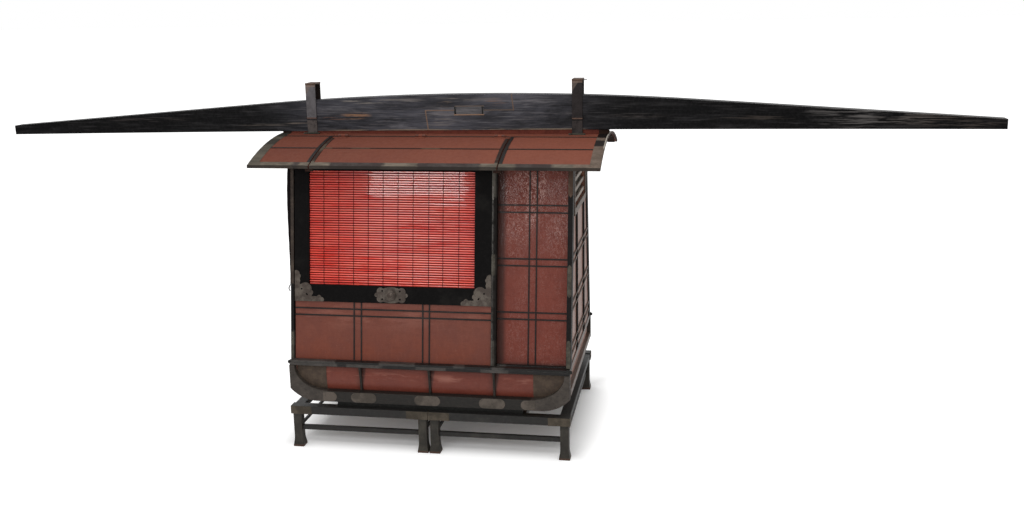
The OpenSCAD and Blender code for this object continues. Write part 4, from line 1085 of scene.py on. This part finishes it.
def window_lattice():
    """Level bars with darker uprights behind them, in place of the plain bars."""
    z0, z1, half = EAVE_Z - 0.181, EAVE_Z + 0.0195, 0.1838
    pitch, high, deep, chamfer = 0.041, 0.015, 0.009, 0.0015
    x1 = CAB_X + HALF_L - 0.0052
    section = ((0, chamfer), (chamfer, 0), (deep, 0), (deep, high), (chamfer, high), (0, high - chamfer))
    bars = []
    z = z0 + 0.012
    while z < z1 - 0.014:
        bars.append(swept([[Vector((x1 - 0.002 - a, y, z + b)) for a, b in section] for y in (-half, half)]))
        z += pitch
    section = ((0, -0.006), (0, 0.006), (0.006, 0.006), (0.006, -0.006))
    ups = [swept([[Vector((x1 - 0.0115 - a, k * 0.048 + b, z)) for a, b in section]
                  for z in (z0, z1 - 0.001)]) for k in range(-3, 4)]
    obj = pieces("window_lattice", bars, "bar")
    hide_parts("window_bars")
    pieces("window_uprights", ups, "bar_dark")


window_lattice()


def saddle_tails():
    """Blocks that carry the beam's saddle on to both ends of the roof, red and then dark."""
    def block(x0, x1, top0, top1, half0, half1):
        rows = []
        for k in range(5):
            t = k / 4
            x, top, half = x0 + (x1 - x0) * t, top0 + (top1 - top0) * t, half0 + (half1 - half0) * t * t
            section = ((-1, 1.1935), (1, 1.1935), (1, top - 0.003), (0.86, top), (-0.86, top), (-1, top - 0.003))
            rows.append([Vector((x, y * half, z)) for y, z in section])
        return swept(rows)

    red = [block(-0.7295, -0.754, 1.2017, 1.2014, 0.024, 0.024),
           block(0.4695, 0.494, 1.2122, 1.2124, 0.024, 0.024)]
    dark = [block(-0.754, -0.7915, 1.2014, 1.201, 0.024, 0.019),
            block(0.494, 0.5315, 1.2124, 1.2126, 0.024, 0.019)]
    pieces("saddle_tails", red, "saddle")
    pieces("saddle_ends", dark, "rafter")


saddle_tails()


# Rounded edges on the plain nodes

for name, width in (("trestle_top_rails", 0.0016), ("trestle_legs", 0.002), ("trestle_stretchers", 0.0014),
                    ("trestle_side_stretchers", 0.0014), ("trestle_cross_rails", 0.0014),
                    ("sill_rails", 0.0016), ("door_battens_near", 0.001), ("door_battens_far", 0.001),
                    ("hoop_front", 0.001), ("hoop_rear", 0.001), ("roof_rim", 0.0005),
                    ("door_fittings_near", 0.0006), ("door_fittings_far", 0.0006)):
    soften(nodes[name], width)


# Camera, lights and floor

def camera():
    fwd = Vector((-sin(YAW) * cos(PITCH), cos(YAW) * cos(PITCH), -sin(PITCH)))
    right = Vector((cos(YAW), sin(YAW), 0))
    up = right.cross(fwd)
    side = cos(ROLL) * right + sin(ROLL) * up
    top = -sin(ROLL) * right + cos(ROLL) * up
    data = bpy.data.cameras.new("camera")
    data.lens, data.sensor_width, data.clip_end = LENS, 36, 100
    cam = linked("camera", data)
    cam.matrix_world = Matrix.Translation(CAMERA_AT) @ Matrix((side, top, -fwd)).transposed().to_4x4()
    bpy.context.scene.camera = cam


def area(name, place, aim, size, power):
    data = bpy.data.lights.new(name, "AREA")
    data.shape, data.size, data.size_y = "RECTANGLE", size[0], size[1]
    data.energy = power
    lamp = linked(name, data)
    lamp.location = place
    lamp.visible_camera = False
    lamp.rotation_euler = (Vector(aim) - Vector(place)).to_track_quat("-Z", "Y").to_euler()


def surroundings():
    """White behind the object; reflections see the studio, dark in front and pale at the sides and back."""
    world = bpy.data.worlds.new("studio")
    world.use_nodes = True
    sky = Nodes(world.node_tree)
    axes = sky.axes(sky.node("TexCoord", out="Generated"))
    level = sky.mask(axes[1], -0.55, 0.15, FRONT_LEVEL, 1.0)
    level = sky.lerp(sky.mask(axes[2], 0.25, 0.7), level, CEILING_LEVEL)
    level = sky.lerp(sky.ray("Is Glossy Ray"), DIFFUSE_LEVEL, level)
    level = sky.lerp(sky.ray("Is Transmission Ray"), level, 1.0)
    level = sky.lerp(sky.ray("Is Camera Ray"), level, 1.0)
    back = world.node_tree.nodes["Background"]
    sky.feed(back.inputs["Strength"], level)
    sky.feed(back.inputs["Color"], (1, 1, 1))
    bpy.context.scene.world = world
    for lamp in LAMPS:
        area(*lamp)


def floor():
    """White ground that glows to the camera away from the object, and is dull in reflections of the front."""
    mesh = bpy.data.meshes.new("floor")
    mesh.from_pydata([(-60, -60, 0), (60, -60, 0), (60, 60, 0), (-60, 60, 0)], [], [(0, 1, 2, 3)])
    obj = linked("floor", mesh)
    m = Mat("floor_white")
    dark = m.ray("Is Glossy Ray") * m.mask(m.y * -1, 0.9, 2.2)
    out_x = abs(m.x - CAB_X) - 0.54
    out_y = m.most(-0.3 - m.y, m.y - 0.42)
    away = m.most(m.mask(out_x, -0.04, 0.14), m.mask(out_y, -0.06, 0.24))
    m.colour = m.mix(dark, (0.9, 0.9, 0.895), (0.2, 0.2, 0.2))
    m.finish(0.9, spec=0, Emission_Color=(1, 1, 1),
             Emission_Strength=m.ray("Is Camera Ray") * m.lerp(away, FLOOR_GLOW, 0.6))
    mesh.materials.append(m.mat)


camera()
surroundings()
floor()
bpy.context.scene.view_settings.view_transform = "Standard"

bpy.context.view_layer.update()
